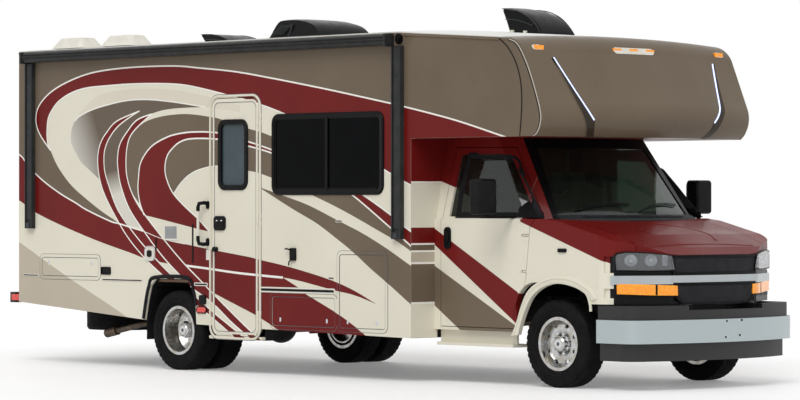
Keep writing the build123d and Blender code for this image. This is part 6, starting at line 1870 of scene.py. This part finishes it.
ARCH_INNER = [(517.8, 334.8), (521, 322), (525.4, 309.2), (531.8, 296.4), (542.4, 287.4), (556.8, 283.6),
              (572.8, 286.8), (584, 293.2), (591.4, 301.2)]
ARCH_OUTER = [(510.4, 336.4), (515.8, 322), (521, 304.4), (528, 290), (540.8, 280.4), (556.8, 275.6),
              (576, 278.8), (592, 290), (596.4, 299)]
ARCH_RIDGE = [(513.6, 335.6), (518.2, 322), (523.6, 305.6), (530.4, 292), (541.8, 282.6), (556.8, 278.4),
              (575, 281.6), (589, 290.6), (594.6, 299.4)]
# across the lip: share of the way from the inner line to the outer, and height
FLARE_SECTION = ((0.0, -0.035), (0.0, 0.008), (0.12, 0.012), (0.85, 0.010), (1.0, 0.004), (1.0, -0.012))


def fender_flares():
    """Raised cream lip round each front wheel, with a ridge, and the fender's corner beside the lamps."""
    inner, outer, crest = [curve_through([on_side(u, v, y=-CAB_Y) for u, v in line], steps=4)
                           for line in (ARCH_INNER, ARCH_OUTER, ARCH_RIDGE)]
    for side, name in RIGHT_LEFT:
        place = at_side(side, CAB_Y - 0.008)
        verts = [place(a0 + (a1 - a0) * share, b0 + (b1 - b0) * share, h)
                 for (a0, b0), (a1, b1) in zip(inner, outer) for share, h in FLARE_SECTION]
        flare = Build().add(verts, ring_faces(len(inner), len(FLARE_SECTION)))
        flare.sweep(crest, place, bead(0.006, 0.016, 0.008, 0.5), closed=False)
        flare.make("fender_flare_" + name, "coach", "cab_paint", PAINTS["cream"], smooth=True, angle=50)
        corner = Build()
        for z0, z1 in ((0.740, 0.842), (0.945, 1.098)):
            strip = [(side * a, b) for a, b in slab(0.9615, 1.0, z0, z1)][::side]
            curved_plate(corner, strip, nose_face, -0.004, 0.0016, step=0.008)
        corner.make("fender_corner_" + name, "coach", "cab_paint", frame_material("cab_paint"))


HOOD_CREASES = [[(579, 224.2), (600, 229.5), (624, 238.6), (634, 245)],
                [(652, 223.6), (680, 226.6), (708, 233.6), (716, 240)],
                [(641, 247.6), (672, 244.4), (716, 243.6), (752, 245.2)]]


def hood_creases():
    """Soft ridges of the pressed hood."""
    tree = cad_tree("hood")
    build = Build()
    for line in HOOD_CREASES:
        spots = traced(tree, line, 6)
        if len(spots) > 3:
            ribbon(build, spots, 0.016, 0.0035)
    build.make("hood_creases", "hood_body", "hood_paint", PAINTS["red"], smooth=True)


# ---- floor and light ----
SKY_LEVEL = 0.52
KEY_LEVEL = 1.5
KEY_FROM = (0.5, -0.72, 1.0)
FLOOR_HALF = 90
SHOWN_TO = ("Is Camera Ray", "Is Transmission Ray", "Is Glossy Ray")      # rays that meet a white surround


def add_stage():
    shade = Shade("studio_floor", "F2F2F2", 0.6).blotch("F4F4F4", "EFEFEF", 0.2).grain(40, 0.0004)
    camera, through, gloss = [shade.node("ShaderNodeLightPath").outputs[ray] for ray in SHOWN_TO]
    shown = shade.math("MAXIMUM", shade.math("MAXIMUM", camera, through), gloss)
    shade.set("Emission Color", (1, 1, 1, 1))
    shade.links.new(shade.math("MULTIPLY", shown, 0.2), shade.shader.inputs["Emission Strength"])
    mesh = bpy.data.meshes.new("studio_floor")
    mesh.from_pydata([(a, b, 0) for a, b in slab(-FLOOR_HALF, FLOOR_HALF, -FLOOR_HALF, FLOOR_HALF)], [],
                     [(0, 1, 2, 3)])
    mesh.materials.append(shade.material)
    linked("studio_floor", mesh)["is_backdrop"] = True


def add_light():
    """White sky for the camera, a dimmer one for the light it gives, and a soft key lamp."""
    world = bpy.data.worlds.new("studio")
    bpy.context.scene.world = world
    world.use_nodes = True
    nodes, links = world.node_tree.nodes, world.node_tree.links
    path = nodes.new("ShaderNodeLightPath")
    shown = path.outputs[SHOWN_TO[0]]
    for ray in SHOWN_TO[1:]:
        either = nodes.new("ShaderNodeMath")
        either.operation = "MAXIMUM"
        links.new(shown, either.inputs[0])
        links.new(path.outputs[ray], either.inputs[1])
        shown = either.outputs[0]
    level = nodes.new("ShaderNodeMapRange")
    level.inputs["To Min"].default_value = SKY_LEVEL
    level.inputs["To Max"].default_value = 1.0
    links.new(shown, level.inputs["Value"])
    sky = nodes["Background"]
    links.new(level.outputs["Result"], sky.inputs["Strength"])
    sky.inputs["Color"].default_value = (1, 1, 1, 1)
    lamp = bpy.data.lights.new("key", "SUN")
    lamp.energy = KEY_LEVEL
    lamp.angle = math.radians(35)
    key = linked("key", lamp)
    key.rotation_euler = Vector(KEY_FROM).to_track_quat("Z", "Y").to_euler()


add_camera()
add_stage()
add_light()
dress_nodes()
for step in (add_paint, add_end_paint, wall_windows, entry_trim, lid_flanges, side_fittings, awning_hook,
             entry_hardware, arch_trim, door_skirt, awning_dress, rear_marks, nose_front, bumper_holes, cap_seam,
             cap_lamp_bar, cab_dress, wipers, wheel_dress, cap_dress, roof_dress, cab_seats, cab_trim,
             fender_flares, hood_creases):
    step()
bpy.context.scene.view_settings.view_transform = "Standard"
visual_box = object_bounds()
[[list(corner) for corner in box] for box in (cad_box, visual_box)]
